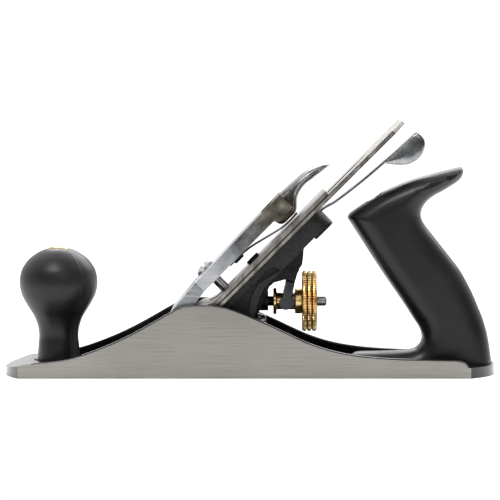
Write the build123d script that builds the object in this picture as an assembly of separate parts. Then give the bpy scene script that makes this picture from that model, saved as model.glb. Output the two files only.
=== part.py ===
"""Bench smoothing hand plane, as an assembly of its separate pieces.

Millimetres. +X runs from the toe to the heel, +Z up, and the origin is the centre of the sole's face.
The iron, the cap iron, the lever cap and the frog's face are drawn in the bed's own coordinates:
s runs up the bed from the point where it meets the sole, and n stands out of it, towards the toe.
"""
from build123d import *
from math import cos, radians, sin, tan
import os

# ---- body ----
SOLE_LENGTH = 248.0
BODY_WIDTH = 64.0
SOLE_THICK = 4.0
TOE_EDGE = 4.0          # the floor's height at the very toe
HEEL_THICK = 5.3
TOE_DEPTH = 8.2         # how far the toe's round end stands past its corners
HEEL_DEPTH = 13.8
WING_THICK = 3.8
WING_HEIGHT = 36.6
WING_PEAK_X = -21.0
WING_TOE_RUN = 93.7     # the slopes' runs that their points are drawn for
WING_HEEL_RUN = 131.2
EDGE_ROUND = 0.8

# ---- bed and mouth ----
BED_ANGLE = 45.0
BED_X = -49.36          # where the bed's plane meets the sole
MOUTH_LIP_X = -55.0
MOUTH_REAR_GAP = 1.7    # from the bed's plane back to the mouth's rear edge, along X
MOUTH_SIDE_GAP = 2.2     # beside the iron
MOUTH_RELIEF = 1.5

# ---- frog and its seat ----
FROG_HALF_WIDTH = 22.0
FROG_LENGTH = 118.8     # up the bed
FROG_PLATE = 8.4
FROG_RIB = 4.0
SEAT_TOP = 8.0
SEAT_GAP = 0.05
FROG_BASE = 4.0
FROG_REAR_X = 2.0
FROG_TRAVEL = (-1.0, 1.5)
EAR_GAP = 0.3
EAR_THICK = 4.0
BOSS_RADIUS = 4.9
BOSS_END_X = 9.3

# ---- frog's fixings ----
FROG_SCREW_X = -16.0
FROG_SCREW_Y = 13.0
FROG_SCREW_RADIUS = 2.8
FROG_SCREW_HEAD = 4.3
FROG_SCREW_HEAD_HEIGHT = 3.7
FROG_WASHER_RADIUS = 5.8
FROG_WASHER_THICK = 1.25
DRIVER_HOLE_GAP = 0.9    # round the screw's head, in the driver's way
ADJUST_SCREW_Z = 14.0
ADJUST_SCREW_RADIUS = 3.1
ADJUST_COLLAR_RADIUS = 4.6
ADJUST_COLLAR_THICK = 1.2
ADJUST_NECK_RADIUS = 2.2
ADJUST_SCREW_END_X = 22.0
STUD_START_X = 2.0
LUG_X = 9.6
LUG_LENGTH = 8.0
LUG_HALF_WIDTH = 6.5
LUG_TOP = 19.5
CLIP_X = 3.9
CLIP_THICK = 1.6
CLIP_HALF_WIDTH = 6.0
CLIP_SCREW_Z = 26.2
CLIP_SCREW_RADIUS = 1.9
CLIP_SCREW_HEAD = 3.6
CLIP_SCREW_HEAD_HEIGHT = 2.6

# ---- depth adjustment ----
STUD_Z = 36.6
STUD_RADIUS = 2.5
STUD_END_X = 38.9
HUB_X = 11.8
FLANGE_RADIUS = 6.7
FLANGE_THICK = 1.7
CORE_RADIUS = 4.35
CORE_LENGTH = 9.3
COLLAR_RADIUS = 6.4
COLLAR_LENGTH = 3.55
WHEEL_RADIUS = 15.3
WHEEL_WIDTH = 7.4
WHEEL_GAP = 0.05
WHEEL_GROOVE = 1.1
LEVER_PIN_X = 21.9
LEVER_PIN_Z = 53.4
LEVER_PIN_RADIUS = 1.5
BALL_X = 18.1
BALL_Z = 36.0
BALL_RADIUS = 3.35
FORK_INNER = 4.7
FORK_OUTER = 9.4
FORK_ARM = 4.5
LEVER_HALF = 3.0
LEVER_EYE_RADIUS = 3.2
LEVER_TIP_S = 92.0
LEVER_TIP_N = 4.2
LEVER_TIP_WIDTH = 4.0
TIP_GAP = 0.7

# ---- irons ----
IRON_THICK = 2.2
IRON_WIDTH = 50.0
IRON_EDGE_S = -1.07
IRON_TOP_S = 179.5
IRON_CORNER = 7.0
BEVEL_ANGLE = 25.0
SLOT_WIDTH = 11.1
SLOT_LOW_S = 45.0
SLOT_TOP_S = 156.0
SLOT_HOLE_RADIUS = 9.5
CAP_IRON_THICK = 2.2
CAP_IRON_TOP_S = 127.5
CAP_IRON_EDGE_S = 1.2
HUMP_HEIGHT = 8.9
HUMP_S = 23.0
HUMP_FOOT_S = 51.0
CAP_SLOT_TOP_S = 65.0
CAP_SCREW_S = 77.1
CAP_SCREW_RADIUS = 3.83
CAP_SCREW_HEAD = 8.0
CAP_SCREW_HEAD_HEIGHT = 3.4
CAP_SCREW_STANDS = 1.7
IRON_TRAVEL = (-2.4, 1.2)

# ---- lateral adjustment ----
LATERAL_PIVOT_S = 112.0
ROLLER_S = 106.0
ROLLER_RADIUS = 5.25
ROLLER_THICK = 2.5
LATERAL_THICK = 1.6
LATERAL_WIDTH = 9.0
LATERAL_DEPTH = 0.8     # its upper face, below the bed
LATERAL_PIN_RADIUS = 1.6
PADDLE_S = 161.0
PADDLE_END_S = 181.0
PADDLE_HALF_WIDTH = 7.4
PADDLE_EAR_DROP = 10.6

# ---- lever cap, its screw, spring and cam ----
LEVER_CAP_WIDTH = 50.0
LEVER_CAP_LIP_S = 15.5
LEVER_CAP_KNEE_S = 49.0
LEVER_CAP_WAIST_S = 80.0
LEVER_CAP_TOP_S = 110.0
LEVER_CAP_HOLLOW_S = 33.0
LEVER_CAP_TOP_HALF = 15.6
LEVER_CAP_LOW_N = 11.6
LEVER_CAP_KNEE_N = 18.0
LEVER_CAP_TOP_N = 19.1
LEVER_CAP_WALL = 3.2
LIP_GAP = 0.2
LEVER_CAP_TRAVEL = 10.0
LEVER_CAP_SCREW_S = 56.8
LEVER_CAP_SCREW_RADIUS = 2.75
LEVER_CAP_SCREW_HEAD = 5.5
LEVER_CAP_SCREW_TOP = 21.4
LEVER_CAP_SCREW_DOME = 9.5
LEVER_CAP_SCREW_DEPTH = 9.5
CAM_PIN_S = 104.0
CAM_PIN_N = 13.0
CAM_PIN_RADIUS = 1.5
CAM_HALF_WIDTH = 12.1
CAM_GAP = 0.3
CAM_WINDOW_S = 96.8
SPRING_RIVET_S = 72.0
SPRING_RIVET_RADIUS = 1.7
SPRING_THICK = 0.9
SPRING_HALF_WIDTH = 7.0
SPRING_SEAT_N = 11.1
SPRING_RIVET_TOP = LEVER_CAP_KNEE_N - 3.6

# ---- knob ----
KNOB_FROM_TOE = 26.8
KNOB_SEAT = 7.6
KNOB_SEAT_RADIUS = 12.6
KNOB_HEIGHT = 56.2
KNOB_FOOT_RADIUS = 10.8
KNOB_STUD_RADIUS = 3.0
KNOB_STUD_SUNK = 3.8        # from the knob's top down to the stud's end
KNOB_NUT_RADIUS = 5.2
KNOB_NUT_HEAD = 4.8         # how deep the nut's head sits in the knob
KNOB_NUT_STANDS = 0.3
KNOB_SLEEVE_RADIUS = 3.9
KNOB_SLEEVE_LENGTH = 12.0

# ---- tote ----
TOTE_FROM_HEEL = 73.4       # from the heel's end to the front of the tote's foot
TOTE_HALF_WIDTH = 11.5
TOTE_ROUND = 2.0
TOTE_NUT_PLACE = (11.3, 90.4)       # where the rod's axis leaves the tote's top
TOTE_ROD_FOOT = (55.4, 10.0)
TOTE_ROD_LOW = 2.7                  # the rod's lowest height, inside the sole
TOTE_ROD_RADIUS = 3.0
TOTE_NUT_RADIUS = 5.0
TOTE_NUT_SUNK = 2.2
TOTE_NUT_LENGTH = 5.0
TOTE_NUT_FACE = 1.7                 # the nut's closed end, above its thread

# ---- fits ----
RUNNING_FIT = 0.04      # radial, on what turns
THREAD_FIT = 0.02       # radial, on what is screwed home
LOOSE_FIT = 0.4         # radial, on what only passes through
SLIDE_GAP = 0.1         # between faces that slide on each other
HOLE_END = 0.1          # a blind hole's spare depth past what is screwed into it
BLIND_HOLE_LOW = 1.4    # how near the sole's face the body's blind holes come
STUD_LOW = BLIND_HOLE_LOW + HOLE_END

# ---- what follows from the sizes above ----

HALF_LENGTH = SOLE_LENGTH / 2
HALF_WIDTH = BODY_WIDTH / 2
KNOB_X = KNOB_FROM_TOE - HALF_LENGTH
KNOB_TOP = KNOB_SEAT + KNOB_HEIGHT
KNOB_NUT_SEAT = KNOB_TOP - KNOB_NUT_HEAD
KNOB_NUT_TOP = KNOB_TOP + KNOB_NUT_STANDS
KNOB_STUD_TOP = KNOB_TOP - KNOB_STUD_SUNK
TOTE_X = HALF_LENGTH - TOTE_FROM_HEEL
TOTE_NUT_END = Vector(TOTE_X + TOTE_NUT_PLACE[0], 0, TOTE_NUT_PLACE[1])
TOTE_FOOT_END = Vector(TOTE_X + TOTE_ROD_FOOT[0], 0, TOTE_ROD_FOOT[1])
TOTE_RUN = (TOTE_FOOT_END - TOTE_NUT_END).normalized()
TOTE_ROD_END = (TOTE_ROD_LOW - TOTE_NUT_END.Z) / TOTE_RUN.Z     # a length along the axis
BED_ORIGIN = (BED_X, 0, 0)
UP_BED = (cos(radians(BED_ANGLE)), 0, sin(radians(BED_ANGLE)))
OUT_OF_BED = (-UP_BED[2], 0, UP_BED[0])
BED_SIDE = Plane(origin=BED_ORIGIN, x_dir=UP_BED, z_dir=(0, -1, 0))     # sketches in (s, n)
BED_FACE = Plane(origin=BED_ORIGIN, x_dir=UP_BED, z_dir=OUT_OF_BED)     # sketches in (s, Y)
CAP_IRON_TOP_N = IRON_THICK + CAP_IRON_THICK
FROG_FOOT_Z = SEAT_TOP + SEAT_GAP


# ---- helpers ----
def outline(*edges):
    """A face bounded by the given edges, end to end."""
    return make_face(list(edges))


def polygon(points):
    return make_face(Polyline(*points, close=True))


def across(plane, face, half_width):
    """A face in a side plane, thickened to both sides of the plane's middle."""
    return extrude(plane * face, amount=half_width, both=True)


def between(plane, face, near, far):
    """The slab of a face from near to far along the plane's normal."""
    return extrude(plane.offset(near) * face, amount=far - near)


def mirrored_pair(plane, face, inner, outer):
    """Two slabs of one side-view face, at Y from inner to outer and from -outer to -inner."""
    return between(plane, face, inner, outer) + between(plane, face, -outer, -inner)


def rod(start, end, radius):
    """A round bar from one point to another."""
    run = Vector(*end) - Vector(*start)
    plane = Plane(origin=start, z_dir=run)
    return extrude(plane * Circle(radius), amount=run.length)


def bed_point(s, n, y=0.0):
    point = BED_FACE.from_local_coords((s, y, n))
    return (point.X, point.Y, point.Z)


def bed_rod(s, low, high, radius, y=0.0):
    """A round bar that stands square to the bed at s, from n = low to n = high."""
    return rod(bed_point(s, low, y), bed_point(s, high, y), radius)


def driver_slot(centre, direction, along, radius, width=1.2, depth=1.2):
    """The slot across a screw's head, cut down from its top face."""
    plane = Plane(origin=centre, x_dir=along, z_dir=direction)
    return extrude(plane * Rectangle(2.4 * radius, width), amount=-depth) + extrude(
        plane * Rectangle(2.4 * radius, width), amount=depth)


def long_edges(shape):
    """The edges that don't run across the plane."""
    return [edge for edge in shape.edges() if abs(edge.tangent_at(0.5).Y) < 0.5]


def slotted(plane, start, end, radius, near, far):
    """A round-ended slot along a plane's x, cut from near to far."""
    middle = (start + end) / 2
    shape = Pos(middle, 0) * SlotCenterToCenter(end - start, 2 * radius)
    return between(plane, shape, near, far)


# ---- body ----
def plan_face():
    left = TOE_DEPTH - HALF_LENGTH
    right = HALF_LENGTH - HEEL_DEPTH
    return outline(
        Line((left, -HALF_WIDTH), (right, -HALF_WIDTH)),
        ThreePointArc((right, -HALF_WIDTH), (HALF_LENGTH, 0), (right, HALF_WIDTH)),
        Line((right, HALF_WIDTH), (left, HALF_WIDTH)),
        ThreePointArc((left, HALF_WIDTH), (-HALF_LENGTH, 0), (left, -HALF_WIDTH)),
    )


def floor_profile():
    """The floor's side view: thickened under the knob and under the tote."""
    return polygon([
        (-HALF_LENGTH, 0),
        (-HALF_LENGTH, TOE_EDGE),
        (KNOB_X - 1.2 * KNOB_SEAT_RADIUS, KNOB_SEAT - 0.5),
        (KNOB_X + KNOB_SEAT_RADIUS, KNOB_SEAT - 0.5),
        (KNOB_X + 1.8 * KNOB_SEAT_RADIUS, SOLE_THICK),
        (TOTE_X - 10.6, SOLE_THICK),
        (TOTE_X - 4.6, HEEL_THICK),
        (HALF_LENGTH, HEEL_THICK),
        (HALF_LENGTH, 0),
    ])


def wing_profile():
    """A side wing's outline: low at both ends, with its hump beside the mouth."""
    front = TOE_DEPTH - HALF_LENGTH + 1.1
    back = HALF_LENGTH - HEEL_DEPTH
    toe_stretch = (WING_PEAK_X - front) / WING_TOE_RUN
    heel_stretch = (back - WING_PEAK_X) / WING_HEEL_RUN

    def ahead(run, height):
        """A point of the toe's slope, so far ahead of the hump's peak."""
        return (WING_PEAK_X - run * toe_stretch, height)

    def behind(run, height):
        return (WING_PEAK_X + run * heel_stretch, height)

    peak = (WING_PEAK_X, WING_HEIGHT)
    front_corner = (front, 4.5)
    front_top = ahead(85.5, 7.9)
    back_corner = (back - 0.9, 5.0)
    back_top = behind(124.2, 9.1)
    toe_slope = [ahead(72.7, 9.3), ahead(58.4, 13.3), ahead(43.9, 19.3), ahead(29.1, 27.1), ahead(15.9, 34.5)]
    heel_slope = [behind(16.2, 33.0), behind(34.8, 24.9), behind(52.5, 16.9), behind(70.1, 12.2),
                  behind(95.8, 9.8)]
    return outline(
        Line((front, 0), front_corner),
        Spline(front_corner, ahead(91.6, 6.3), front_top, tangents=[(0, 1), (1, 0.12)]),
        Spline(front_top, *toe_slope, peak, tangents=[(1, 0.12), (1, 0)]),
        Spline(peak, *heel_slope, back_top, tangents=[(1, 0), (1, -0.03)]),
        Spline(back_top, behind(128.4, 7.8), back_corner, tangents=[(1, -0.03), (0.1, -1)]),
        Line(back_corner, (back, 0)),
        Line((back, 0), (front, 0)),
    )


def make_plane_body():
    floor = extrude(plan_face(), amount=WING_HEIGHT) & across(Plane.XZ, floor_profile(), HALF_WIDTH)
    wings = mirrored_pair(Plane.XZ, wing_profile(), HALF_WIDTH - WING_THICK, HALF_WIDTH)
    wings = fillet([edge for edge in long_edges(wings) if edge.center().Z > 6], EDGE_ROUND)
    body = floor + wings
    body += Pos(KNOB_X, 0, 0) * extrude(Circle(KNOB_SEAT_RADIUS), amount=KNOB_SEAT)

    seat_front = BED_X + MOUTH_REAR_GAP + SEAT_TOP + 2
    seat_back = FROG_REAR_X + FROG_TRAVEL[1] + 2
    seat = Pos((seat_front + seat_back) / 2, 0, 0) * extrude(
        Rectangle(seat_back - seat_front, 2 * FROG_HALF_WIDTH), amount=SEAT_TOP)
    valley = Pos((seat_front + seat_back) / 2 + 12, 0, SOLE_THICK) * extrude(
        Rectangle(seat_back - seat_front, 0.6 * FROG_HALF_WIDTH), amount=SEAT_TOP)
    body += seat - valley
    body += Pos(LUG_X + LUG_LENGTH / 2, 0, 0) * extrude(
        Rectangle(LUG_LENGTH, 2 * LUG_HALF_WIDTH), amount=LUG_TOP)

    mouth = polygon([
        (MOUTH_LIP_X, -1),
        (MOUTH_LIP_X, 0.8),
        (MOUTH_LIP_X - MOUTH_RELIEF, SOLE_THICK + 1),
        (BED_X + MOUTH_REAR_GAP + SOLE_THICK + 1, SOLE_THICK + 1),
        (BED_X + MOUTH_REAR_GAP - 1, -1),
    ])
    body -= across(Plane.XZ, mouth, IRON_WIDTH / 2 + MOUTH_SIDE_GAP)
    for y in (-FROG_SCREW_Y, FROG_SCREW_Y):
        body -= rod((FROG_SCREW_X, y, BLIND_HOLE_LOW), (FROG_SCREW_X, y, SEAT_TOP + 1),
                    FROG_SCREW_RADIUS + THREAD_FIT)
    body -= rod((LUG_X - 1, 0, ADJUST_SCREW_Z), (LUG_X + LUG_LENGTH + 1, 0, ADJUST_SCREW_Z),
                ADJUST_SCREW_RADIUS + RUNNING_FIT)
    body -= rod((KNOB_X, 0, BLIND_HOLE_LOW), (KNOB_X, 0, KNOB_SEAT + 1), KNOB_STUD_RADIUS + THREAD_FIT)
    tote_hole = rod(tote_axis(TOTE_ROD_END + HOLE_END), tote_axis(TOTE_ROD_END - 12),
                    TOTE_ROD_RADIUS + THREAD_FIT)
    return body - tote_hole


# ---- knob ----
def make_front_knob():
    """A turned knob: waisted above its foot, widest two thirds of the way up."""
    def side_point(radius, share):
        return (radius, KNOB_SEAT + share * KNOB_HEIGHT)

    foot = (KNOB_FOOT_RADIUS, KNOB_SEAT)
    top = (KNOB_NUT_RADIUS + 0.5, KNOB_TOP)
    side = Spline(foot, side_point(10.0, 0.21), side_point(12.4, 0.38), side_point(18.2, 0.55),
                  side_point(19.7, 0.67), side_point(18.4, 0.81), side_point(14.8, 0.897),
                  side_point(11.1, 0.948), top, tangents=[(-0.1, 1), (-1, 0.25)])
    half = outline(
        side,
        Line(top, (0, KNOB_TOP)),
        Line((0, KNOB_TOP), (0, KNOB_SEAT)),
        Line((0, KNOB_SEAT), foot),
    )
    knob = Pos(KNOB_X, 0, 0) * revolve(Plane.XZ * half, Axis.Z)
    over = KNOB_TOP + 1
    knob -= knob_rod(KNOB_SEAT - 1, over, KNOB_STUD_RADIUS + LOOSE_FIT)
    knob -= knob_rod(KNOB_NUT_SEAT - KNOB_SLEEVE_LENGTH - 0.5, over, KNOB_SLEEVE_RADIUS + 0.2)
    return knob - knob_rod(KNOB_NUT_SEAT, over, KNOB_NUT_RADIUS + 0.15)


def knob_rod(low, high, radius):
    return rod((KNOB_X, 0, low), (KNOB_X, 0, high), radius)


def make_knob_stud():
    return knob_rod(STUD_LOW, KNOB_STUD_TOP, KNOB_STUD_RADIUS)


def make_knob_nut():
    """A barrel nut with a slotted, slightly domed head, sunk in the knob's top."""
    nut = knob_rod(KNOB_NUT_SEAT, KNOB_NUT_TOP, KNOB_NUT_RADIUS)
    nut = fillet(nut.edges().group_by(Axis.Z)[-1], 1.0)
    nut += knob_rod(KNOB_NUT_SEAT - KNOB_SLEEVE_LENGTH, KNOB_NUT_SEAT, KNOB_SLEEVE_RADIUS)
    nut -= knob_rod(KNOB_NUT_SEAT - KNOB_SLEEVE_LENGTH - 1, KNOB_STUD_TOP + 0.2, KNOB_STUD_RADIUS + THREAD_FIT)
    return nut - driver_slot((KNOB_X, 0, KNOB_NUT_TOP), (0, 0, 1), (1, 0, 0), KNOB_NUT_RADIUS)


# ---- tote ----
def tote_axis(distance):
    """A point on the rod's axis, measured down from the tote's top."""
    point = TOTE_NUT_END + TOTE_RUN * distance
    return (point.X, point.Y, point.Z)


def tote_profile():
    """The handle's outline: a long foot, a raked grip and a horn, drawn from the front of its foot."""
    heel_foot = (72.3, HEEL_THICK)
    horn_low = (54.2, 96.7)
    horn_tip = (57.0, 104.6)
    brow = (-1.0, 78.9)
    throat = (36.5, 19.0)
    foot_top = (30.0, 12.2)
    foot_end = (2.4, 10.8)
    foot_low = (0, HEEL_THICK)
    return outline(
        Spline(heel_foot, (70.5, 17.3), (64.9, 34.7), (56.1, 52.2), (43.9, 67.9), (36.2, 79.6), (40.0, 88.1),
               horn_low),
        Spline(horn_low, (58.0, 100.9), horn_tip, tangents=[(1, 0.8), (-1, 0.6)]),
        Spline(horn_tip, (40.0, 100.8), (18.6, 93.1), (0.6, 82.3), brow, tangents=[(-1, -0.15), (0.2, -1)]),
        Spline(brow, (8.1, 64.4), (16.8, 50.9), (31.7, 28.6), throat, foot_top),
        Spline(foot_top, (15.4, 11.5), foot_end, tangents=[(-1, -0.2), (-1, -0.2)]),
        Spline(foot_end, (0.2, 9.0), foot_low, tangents=[(-1, -0.2), (0, -1)]),
        Line(foot_low, heel_foot),
    )


def make_tote():
    tote = Pos(TOTE_X, 0, 0) * across(Plane.XZ, tote_profile(), TOTE_HALF_WIDTH)
    tote = fillet([edge for edge in long_edges(tote) if edge.center().Z > HEEL_THICK + 0.1], TOTE_ROUND)
    above = tote_axis(-6)
    tote -= rod(above, tote_axis(TOTE_ROD_END), TOTE_ROD_RADIUS + LOOSE_FIT)
    return tote - rod(above, tote_axis(TOTE_NUT_SUNK + TOTE_NUT_LENGTH), TOTE_NUT_RADIUS + 0.3)


def make_tote_rod():
    return rod(tote_axis(TOTE_NUT_SUNK + TOTE_NUT_FACE + HOLE_END), tote_axis(TOTE_ROD_END), TOTE_ROD_RADIUS)


def make_tote_nut():
    nut = rod(tote_axis(TOTE_NUT_SUNK), tote_axis(TOTE_NUT_SUNK + TOTE_NUT_LENGTH), TOTE_NUT_RADIUS)
    nut -= rod(tote_axis(TOTE_NUT_SUNK + TOTE_NUT_FACE), tote_axis(TOTE_NUT_SUNK + TOTE_NUT_LENGTH + 1),
               TOTE_ROD_RADIUS + THREAD_FIT)
    across_slot = (TOTE_RUN.Z, 0, -TOTE_RUN.X)
    return nut - driver_slot(tote_axis(TOTE_NUT_SUNK), -TOTE_RUN, across_slot, TOTE_NUT_RADIUS)


# ---- frog ----
def above_seat(shape):
    """What is left of a shape above the seat."""
    return shape & Pos(0, 0, FROG_FOOT_Z) * extrude(Rectangle(400, 200), amount=200)


def frog_ribs():
    """The rear line of the frog's sides."""
    return polygon([
        bed_side(105, -4), (27.0, 64.0), (7.7, 46.3), (4.5, 39.2), (2.7, 31.4), (FROG_REAR_X, 28),
        (FROG_REAR_X, FROG_FOOT_Z), (BED_X + FROG_FOOT_Z + 4, FROG_FOOT_Z), bed_side(40, -4),
    ])


def bed_side(s, n):
    point = bed_point(s, n)
    return (point[0], point[2])


def frog_ears():
    """The lobes that carry the Y lever's pin, run down to the stud's boss."""
    return polygon([
        (FROG_REAR_X - 4, 34), (9.0, 40.0), (9.0, 42.2), (9.8, 44.3), (12.3, 46.4), (17.3, 47.8), (23.1, 48.0),
        (24.7, 53.0), (26.4, 55.5), (27.0, 60.0), bed_side(99.5, -8.7), bed_side(95, -4), bed_side(60, -4),
    ])


def make_frog():
    half = FROG_HALF_WIDTH
    face = Pos(FROG_LENGTH / 2, 0) * RectangleRounded(FROG_LENGTH, 2 * half, 9)
    face += Pos(FROG_LENGTH / 4, 0) * Rectangle(FROG_LENGTH / 2, 2 * half)
    frog = between(BED_FACE, face, -FROG_PLATE, 0)
    top_rib = Pos(FROG_LENGTH - 6, 0) * RectangleRounded(12, 1.5 * half, 4)
    frog += between(BED_FACE, top_rib, -FROG_PLATE - 1.6, -2)
    frog += mirrored_pair(Plane.XZ, frog_ribs(), half - FROG_RIB, half)
    base = polygon([
        (BED_X + FROG_FOOT_Z, FROG_FOOT_Z), (FROG_REAR_X, FROG_FOOT_Z),
        (FROG_REAR_X, FROG_FOOT_Z + FROG_BASE), (BED_X + FROG_FOOT_Z + FROG_BASE, FROG_FOOT_Z + FROG_BASE),
    ])
    frog += across(Plane.XZ, base, half)
    web_half = LEVER_HALF + EAR_GAP + EAR_THICK
    rear_web = polygon([
        (FROG_REAR_X - 4, FROG_FOOT_Z), (FROG_REAR_X, FROG_FOOT_Z), (FROG_REAR_X, 29.5), (4.4, 31.2),
        (8.6, 41), (0, 41), (FROG_REAR_X - 4, 36),
    ])
    frog += across(Plane.XZ, rear_web, web_half)
    frog += mirrored_pair(Plane.XZ, frog_ears(), LEVER_HALF + EAR_GAP, web_half)
    frog += rod((FROG_REAR_X - 4, 0, STUD_Z), (BOSS_END_X, 0, STUD_Z), BOSS_RADIUS)
    frog += rod((FROG_REAR_X - 1, 0, CLIP_SCREW_Z), (CLIP_X, 0, CLIP_SCREW_Z), 4.6)
    frog += bed_rod(LEVER_CAP_SCREW_S, -LEVER_CAP_SCREW_DEPTH - 2, -FROG_PLATE + 1, 6.0)
    frog = above_seat(frog)

    # the slot that the Y lever swings in, and the recesses in the bed's face
    lever_slot = polygon([
        bed_side(84.5, 1), bed_side(97.5, 1), bed_side(99.0, -12), (29.5, 57), (26, 44.5), (14, 44.5), (9.8, 52),
    ])
    frog -= across(Plane.XZ, lever_slot, LEVER_HALF + EAR_GAP)
    head_room = CAP_SCREW_HEAD + 1.0
    frog -= slotted(BED_FACE, CAP_SCREW_S + IRON_TRAVEL[0], CAP_SCREW_S + IRON_TRAVEL[1], head_room,
                    -CAP_SCREW_HEAD_HEIGHT - 0.8, 1)
    recess_floor = -LATERAL_DEPTH - LATERAL_THICK - SLIDE_GAP
    recess = Pos((ROLLER_S - 7.5 + FROG_LENGTH + 2) / 2, 0) * Rectangle(FROG_LENGTH + 9.5 - ROLLER_S, 15)
    frog -= between(BED_FACE, recess, recess_floor, 1)

    # the holes: lever cap screw, lateral pivot, stud, Y lever pin, clip screw, frog screws and driver ways
    frog -= bed_rod(LEVER_CAP_SCREW_S, -LEVER_CAP_SCREW_DEPTH - HOLE_END, 1,
                    LEVER_CAP_SCREW_RADIUS + THREAD_FIT)
    frog -= bed_rod(LATERAL_PIVOT_S, -FROG_PLATE - 3, 1, LATERAL_PIN_RADIUS + THREAD_FIT)
    frog -= rod((STUD_START_X - HOLE_END, 0, STUD_Z), (BOSS_END_X + 1, 0, STUD_Z), STUD_RADIUS + THREAD_FIT)
    frog -= lever_pin_rod(half, LEVER_PIN_RADIUS + THREAD_FIT)
    frog -= rod((FROG_REAR_X - 5, 0, CLIP_SCREW_Z), (CLIP_X + 1, 0, CLIP_SCREW_Z),
                CLIP_SCREW_RADIUS + THREAD_FIT)
    base_top = FROG_FOOT_Z + FROG_BASE
    for y in (-FROG_SCREW_Y, FROG_SCREW_Y):
        frog -= frog_screw_way(y, FROG_SCREW_HEAD + DRIVER_HOLE_GAP, base_top, 60)
        frog -= frog_screw_way(y, FROG_SCREW_RADIUS + 0.3, 0, 60)
        frog -= frog_screw_way(y, FROG_WASHER_RADIUS + 0.4, base_top, base_top + 3)
    return frog


def frog_screw_way(y, radius, low, high):
    """The upright slot that leaves a frog screw where it is while the frog travels."""
    start = FROG_SCREW_X - FROG_TRAVEL[1]
    end = FROG_SCREW_X - FROG_TRAVEL[0]
    return Pos(0, y, 0) * slotted(Plane.XY, start, end, radius, low, high)


def make_frog_screws():
    """The two screws that clamp the frog to its seat, as two separate solids."""
    low = FROG_FOOT_Z + FROG_BASE + FROG_WASHER_THICK + 2 * SEAT_GAP
    high = low + FROG_SCREW_HEAD_HEIGHT
    screws = []
    for y in (-FROG_SCREW_Y, FROG_SCREW_Y):
        top = (FROG_SCREW_X, y, high)
        screw = rod((FROG_SCREW_X, y, low), top, FROG_SCREW_HEAD)
        screw = fillet(screw.edges().group_by(Axis.Z)[-1], 0.9)
        screw += rod((FROG_SCREW_X, y, STUD_LOW), (FROG_SCREW_X, y, low), FROG_SCREW_RADIUS)
        screws.append(screw - driver_slot(top, (0, 0, 1), (0, 1, 0), FROG_SCREW_HEAD))
    return screws


def make_frog_washers():
    low = FROG_FOOT_Z + FROG_BASE + SEAT_GAP
    washers = []
    for y in (-FROG_SCREW_Y, FROG_SCREW_Y):
        washer = rod((FROG_SCREW_X, y, low), (FROG_SCREW_X, y, low + FROG_WASHER_THICK), FROG_WASHER_RADIUS)
        hole = rod((FROG_SCREW_X, y, low - 1), (FROG_SCREW_X, y, low + 3), FROG_SCREW_RADIUS + 0.15)
        washers.append(washer - hole)
    return washers


def make_frog_clip():
    """The forked plate behind the frog that drops into the adjusting screw's neck."""
    low = ADJUST_SCREW_Z - 3.4
    high = CLIP_SCREW_Z + 4.0
    plate = Plane.YZ * (Pos(0, (low + high) / 2) * RectangleRounded(2 * CLIP_HALF_WIDTH, high - low, 1.5))
    clip = Pos(CLIP_X, 0, 0) * extrude(plate, amount=CLIP_THICK)
    fork = Plane.YZ * (Pos(0, (low - 3 + ADJUST_SCREW_Z) / 2)
                       * Rectangle(2 * ADJUST_NECK_RADIUS + 0.2, ADJUST_SCREW_Z - low + 3))
    clip -= Pos(CLIP_X - 1, 0, 0) * extrude(fork, amount=CLIP_THICK + 2)
    clip -= rod((CLIP_X - 1, 0, ADJUST_SCREW_Z), (CLIP_X + 3, 0, ADJUST_SCREW_Z), ADJUST_NECK_RADIUS + 0.1)
    return clip - rod((CLIP_X - 1, 0, CLIP_SCREW_Z), (CLIP_X + 3, 0, CLIP_SCREW_Z), CLIP_SCREW_RADIUS + 0.1)


def make_frog_clip_screw():
    start = CLIP_X + CLIP_THICK
    end = start + CLIP_SCREW_HEAD_HEIGHT
    screw = rod((start, 0, CLIP_SCREW_Z), (end, 0, CLIP_SCREW_Z), CLIP_SCREW_HEAD)
    screw = fillet(screw.edges().group_by(Axis.X)[-1], 1.0)
    screw += rod((FROG_REAR_X - 4, 0, CLIP_SCREW_Z), (start, 0, CLIP_SCREW_Z), CLIP_SCREW_RADIUS)
    return screw - driver_slot((end, 0, CLIP_SCREW_Z), (1, 0, 0), (0, 1, 0), CLIP_SCREW_HEAD)


def make_frog_adjust_screw():
    """Threaded through the body's lug, with a neck between two collars for the clip."""
    z = ADJUST_SCREW_Z
    rear_collar = CLIP_X + CLIP_THICK + SLIDE_GAP
    neck = CLIP_X - SLIDE_GAP
    shank = rear_collar + ADJUST_COLLAR_THICK
    screw = rod((neck - ADJUST_COLLAR_THICK, 0, z), (neck, 0, z), ADJUST_COLLAR_RADIUS)
    screw += rod((neck, 0, z), (rear_collar, 0, z), ADJUST_NECK_RADIUS)
    screw += rod((rear_collar, 0, z), (shank, 0, z), ADJUST_COLLAR_RADIUS)
    screw += rod((shank, 0, z), (ADJUST_SCREW_END_X, 0, z), ADJUST_SCREW_RADIUS)
    return screw - driver_slot((ADJUST_SCREW_END_X, 0, z), (1, 0, 0), (0, 1, 0), ADJUST_SCREW_RADIUS)


def make_adjust_stud():
    stud = rod((STUD_START_X, 0, STUD_Z), (STUD_END_X, 0, STUD_Z), STUD_RADIUS)
    return chamfer(stud.edges().group_by(Axis.X)[-1], 0.7)


# ---- depth adjustment ----
def turned_on_stud(points):
    """A body turned about the stud's axis, from points in (X, radius)."""
    face = Plane.XZ * polygon(points)
    return Pos(0, 0, STUD_Z) * revolve(face, Axis.X)


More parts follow.
